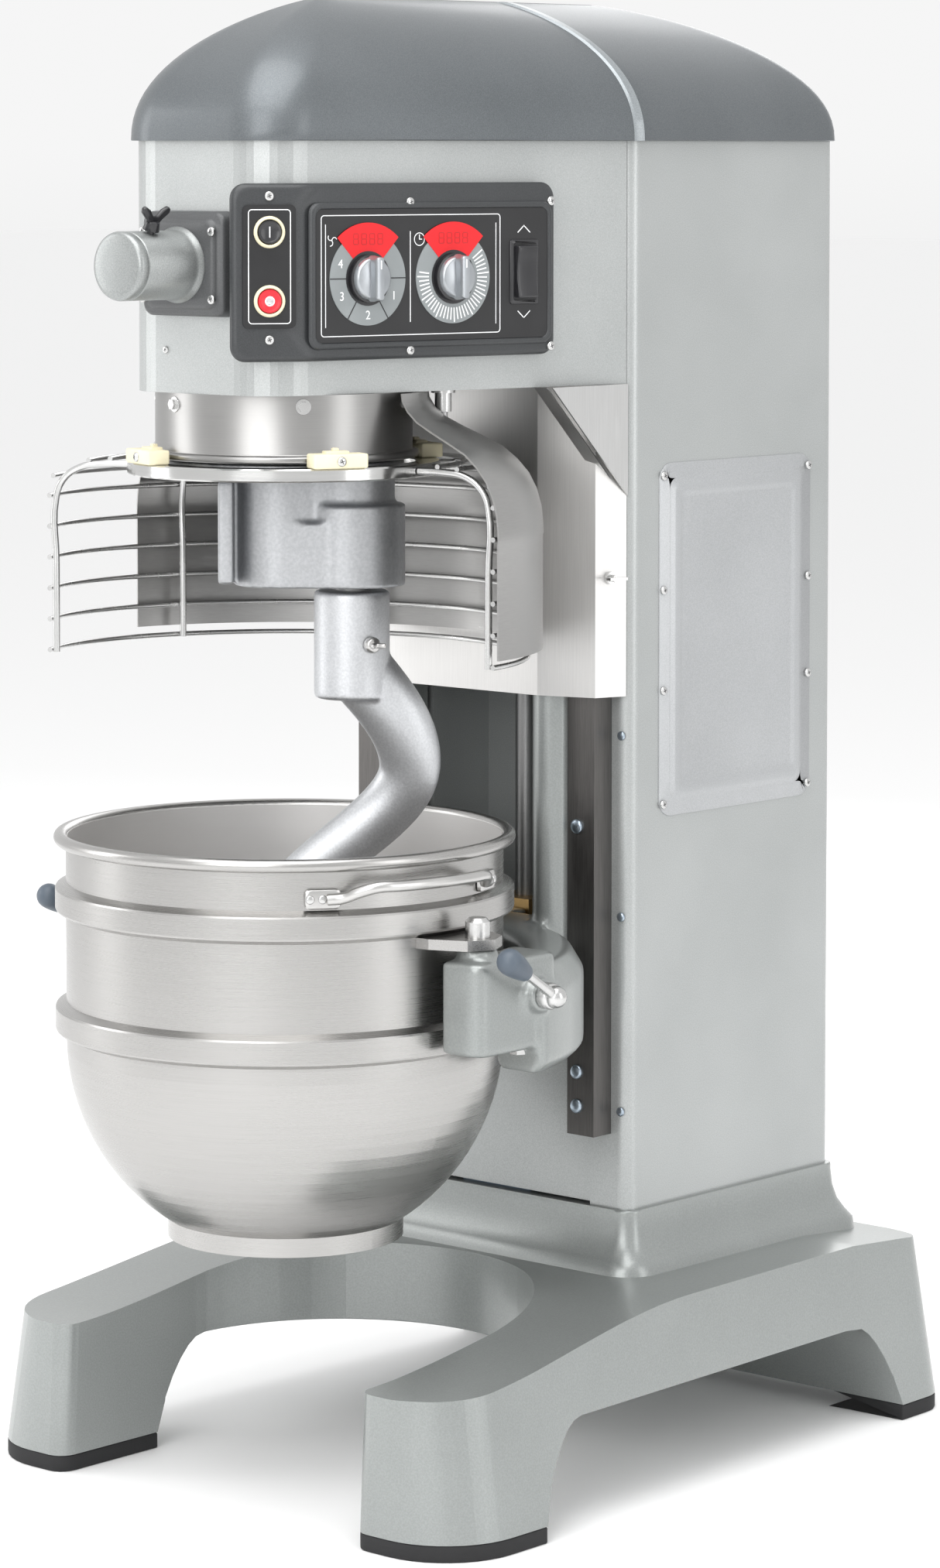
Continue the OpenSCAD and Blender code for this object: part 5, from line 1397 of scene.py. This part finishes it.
def buildDrum():
    lo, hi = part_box("planetary_drum")
    bm = newMesh()
    r, top, bead = 0.137, hi.z, 1.119
    profile = [(r - 0.002, top), (r, top), (r, bead + 0.0056), (r + 0.0008, bead + 0.0042)]
    profile += [(r + 0.003 + 0.0042 * math.cos(a), bead + 0.0042 * math.sin(a))
                for a in [math.radians(x) for x in (100, 70, 40, 10, -20, -50, -80, -110, -140)]]
    profile += [(r - 0.002, bead - 0.0005), (r - 0.002, top)]
    spinProfile(bm, profile, Matrix.Translation((0, axisY, 0)), steps=120)
    finishPiece("drum", bm, drumSteel, "machine", ["planetary_drum"], smooth=40)
    bolts = newMesh()
    for angle in (-152, -103, -38, 25, 86, 142):
        a = math.radians(angle)
        out = Vector((math.cos(a), math.sin(a), 0))
        place = frameAt(Vector((0, axisY, 1.174)) + out * r, out)
        spinProfile(bolts, [(0.0001, 0.0008), (0.0082, 0.0008), (0.0085, 0.0002), (0.0085, -0.0004)],
                    place, steps=24)
        hexagon = [(0.0058 * math.cos(math.radians(60 * i)), 0.0058 * math.sin(math.radians(60 * i)))
                   for i in range(6)]
        addPrism(bolts, hexagon, 0.0008, 0.0052, place)
    finishPiece("drumBolts", bolts, brightSteel, "machine", (), smooth=30)


buildGuard()
buildShield()
buildDrum()
print("guard ready")


def buildHandles():
    bowlOut, reach, high = 0.2341, 0.0310, 0.688
    grips, rivets = newMesh(), newMesh()
    r = bowlOut + reach
    for side in (0, 180):
        line = []
        for angle, radius, z in ((-36.0, bowlOut + 0.0070, high - 0.0140),
                                 (-32.5, bowlOut + 0.0105, high - 0.0125),
                                 (-29.0, bowlOut + 0.0215, high - 0.0055),
                                 (-25.5, r - 0.0020, high - 0.0005),
                                 (-20, r, high), (-10, r, high), (0, r, high), (5.5, r - 0.0020,
                                         high - 0.0005), (9.0, bowlOut + 0.0215, high - 0.0055), (12.5,
                                         bowlOut + 0.0105, high - 0.0125), (16.0, bowlOut + 0.0070,
                                         high - 0.0140)):
            a = math.radians(angle + side)
            line.append(Vector((radius * math.cos(a), axisY + radius * math.sin(a), z)))
        addMesh(grips, tubeAlong("grip", line, 0.0060, resolution=5, steps=8))
        for angle in (-37, 17):
            a = math.radians(angle + side)
            out = Vector((math.cos(a), math.sin(a), 0))
            seat = frameAt(Vector((0, axisY, high - 0.014)) + out * (bowlOut + 0.0012), out)
            rings = []
            for inset, z in ((0, -0.001), (0, 0.0026), (0.0012, 0.0038), (0.003, 0.0042)):
                rings.append([seat @ Vector((x, y, z)) for x,
                              y in roundedRect(-0.019 + inset, -0.0105 + inset, 0.019 - inset,
                                               0.0105 - inset, 0.006, 5)])
            loftRings(grips, rings)
            for x in (-0.0115, 0.0015):
                sign = 1 if angle > 0 else -1
                spinProfile(rivets, [(0.0048, 0.0041), (0.0044, 0.0050), (0.0030, 0.0056),
                                     (0.0001, 0.0058)],
                                     seat @ Matrix.Translation((x * -sign + 0.002 * sign, 0, 0)), steps=20)
    finishPiece("bowlHandles", grips, handleSteel, "bowl", ["bowl_handles"],
                smooth=50)
    finishPiece("handleRivets", rivets, brightSteel, "bowl", (), smooth=50)


def buildClamps():
    spot = {"x": 0.326, "y": 0.054, "z": 0.5645, "dx": 0.014, "dy": -0.052, "dz": 0.031}
    for name, body, node, side in (("clampRight", "clamp_right", "clamp_lever_right", 1),
                                   ("clampLeft", "clamp_left", "clamp_lever_left", -1)):
        centre = Vector((side * spot["x"], axisY + spot["y"], spot["z"]))
        hinge, grip = newMesh(), newMesh()
        seat = frameAt(centre, (side, 0, 0))
        spinProfile(hinge, [(0.0001, -0.0055), (0.0140, -0.0055), (0.0140, 0.0035), (0.0128, 0.0058)]
                    + [(0.012 * math.cos(a), 0.009 + 0.012 * math.sin(a))
                       for a in [math.radians(x) for x in (-12, 10, 32, 54, 76, 89.9)]], seat, steps=40)
        start = centre + Vector((side * 0.009, 0, 0))
        end = centre + Vector((side * spot["dx"], spot["dy"], spot["dz"]))
        shaft = frameAt(start, end - start)
        long = (end - start).length
        spinProfile(hinge, [(0.0001, 0), (0.0062, 0), (0.0050, long * 0.5), (0.0050, long + 0.004),
                            (0.0001, long + 0.004)], shaft, steps=24)
        finishPiece(name + "Lever", hinge, brightSteel, body, [node], smooth=50)
        knobDir = Vector((0, -math.sin(math.radians(59)), math.cos(math.radians(59))))
        knobSeat = frameAt(end, knobDir)
        egg = [(0.0001, -0.001), (0.0075, -0.0006), (0.0088, 0.0012)]
        egg += [(0.0088 + (0.0139 - 0.0088) * math.sin(math.radians(90 * t)), 0.0012 + 0.030 * t)
                for t in (0.15, 0.3, 0.45, 0.6, 0.75, 0.9)]
        egg += [(0.0139 * math.cos(math.radians(a)), 0.030 + 0.0139 * math.sin(math.radians(a)))
                for a in (0, 15, 30, 45, 60, 75, 89.9)]
        spinProfile(grip, egg, knobSeat, steps=48)
        finishPiece(name + "Knob", grip, slatePlastic, body, (), smooth=60)


def buildYokeFittings():
    bolts = newMesh()
    for side in (1, -1):
        under = frameAt((side * 0.279, axisY + 0.060, 0.5062), (0, 0, -1), (0, 1, 0))
        spinProfile(bolts, [(0.0001, 0.0018), (0.0125, 0.0018), (0.0130, 0.0010), (0.0130, -0.001)],
                    under, steps=32)
        hexagon = [(0.0092 * math.cos(math.radians(60 * i)), 0.0092 * math.sin(math.radians(60 * i)))
                   for i in range(6)]
        addPrism(bolts, hexagon, 0.0018, 0.0085, under)
    finishPiece("yokeBolts", bolts, brightSteel, "bowl_lift", (), smooth=30)


buildHandles()
buildClamps()
buildYokeFittings()
print("bowl fittings ready")


def makeStage():
    bm = newMesh()
    addBox(bm, (-60, -60, -0.02), (60, 60, 0))
    mesh = bpy.data.meshes.new("floor")
    bm.to_mesh(mesh)
    bm.free()
    mat = bpy.data.materials.new("pale_floor")
    mat.use_nodes = True
    shader = mat.node_tree.nodes["Principled BSDF"]
    shader.inputs["Base Color"].default_value = (0.96, 0.96, 0.96, 1)
    shader.inputs["Roughness"].default_value = 0.7
    mesh.materials.append(mat)
    floor = bpy.data.objects.new("floor", mesh)
    bpy.context.scene.collection.objects.link(floor)


def makeCamera():
    view = {"place": (3.6421, axisY - 3.8239, 1.4416), "azimuth": 41.75, "pitch": 3.71, "lens": 113.94,
            "shift": (0.0162, -0.2)}
    data = bpy.data.cameras.new("camera")
    data.lens = view["lens"]
    data.sensor_width = 36
    data.shift_x, data.shift_y = view["shift"]
    camera = bpy.data.objects.new("camera", data)
    camera.location = view["place"]
    camera.rotation_euler = (math.radians(90 - view["pitch"]), 0, math.radians(view["azimuth"]))
    bpy.context.scene.collection.objects.link(camera)
    bpy.context.scene.camera = camera


def addArea(name, place, aim, size, power, tint=(1, 1, 1)):
    data = bpy.data.lights.new(name, "AREA")
    data.shape = "RECTANGLE"
    data.size, data.size_y = size
    data.energy = power
    data.color = tint
    lamp = bpy.data.objects.new(name, data)
    lamp.location = place
    lamp.rotation_euler = (Vector(aim) - Vector(place)).to_track_quat("-Z", "Y").to_euler()
    bpy.context.scene.collection.objects.link(lamp)


def makeLight():
    addArea("key", (1.6, -4.4, 2.6), (0, 0, 0.9), (2.6, 3.4), 82)
    addArea("right", (4.6, 0.4, 1.9), (0, 0, 0.9), (1.4, 3.4), 32)
    addArea("left", (-3.8, -2.6, 1.9), (0, 0, 0.9), (1.4, 3.2), 44)
    addArea("top", (0.5, -1.2, 4.4), (0, 0, 1.2), (3.4, 3.4), 120)
    addArea("back", (-2.0, 4.2, 2.6), (0, 0, 1.0), (2.0, 2.5), 35)
    bpy.context.scene.view_settings.view_transform = "Standard"
    world = bpy.data.worlds.new("studio")
    bpy.context.scene.world = world
    world.use_nodes = True
    tree = world.node_tree
    coords = tree.nodes.new("ShaderNodeTexCoord").outputs["Generated"]
    split = tree.nodes.new("ShaderNodeSeparateXYZ")
    tree.links.new(coords, split.inputs[0])
    ramp = tree.nodes.new("ShaderNodeValToRGB")
    tree.links.new(rangeNode(tree, split.outputs["Z"], 0.0, 1.0, -1.0, 1.0), ramp.inputs["Fac"])
    stops = ramp.color_ramp.elements
    stops[0].position, stops[0].color = 0.30, (0.40, 0.41, 0.42, 1)
    stops[1].position, stops[1].color = 1.0, (1.0, 1.0, 1.0, 1)
    middle = stops.new(0.50)
    middle.color = (1.0, 1.0, 1.0, 1)
    tree.links.new(ramp.outputs["Color"], tree.nodes["Background"].inputs["Color"])
    tree.nodes["Background"].inputs["Strength"].default_value = 0.92


makeStage()
makeCamera()
makeLight()
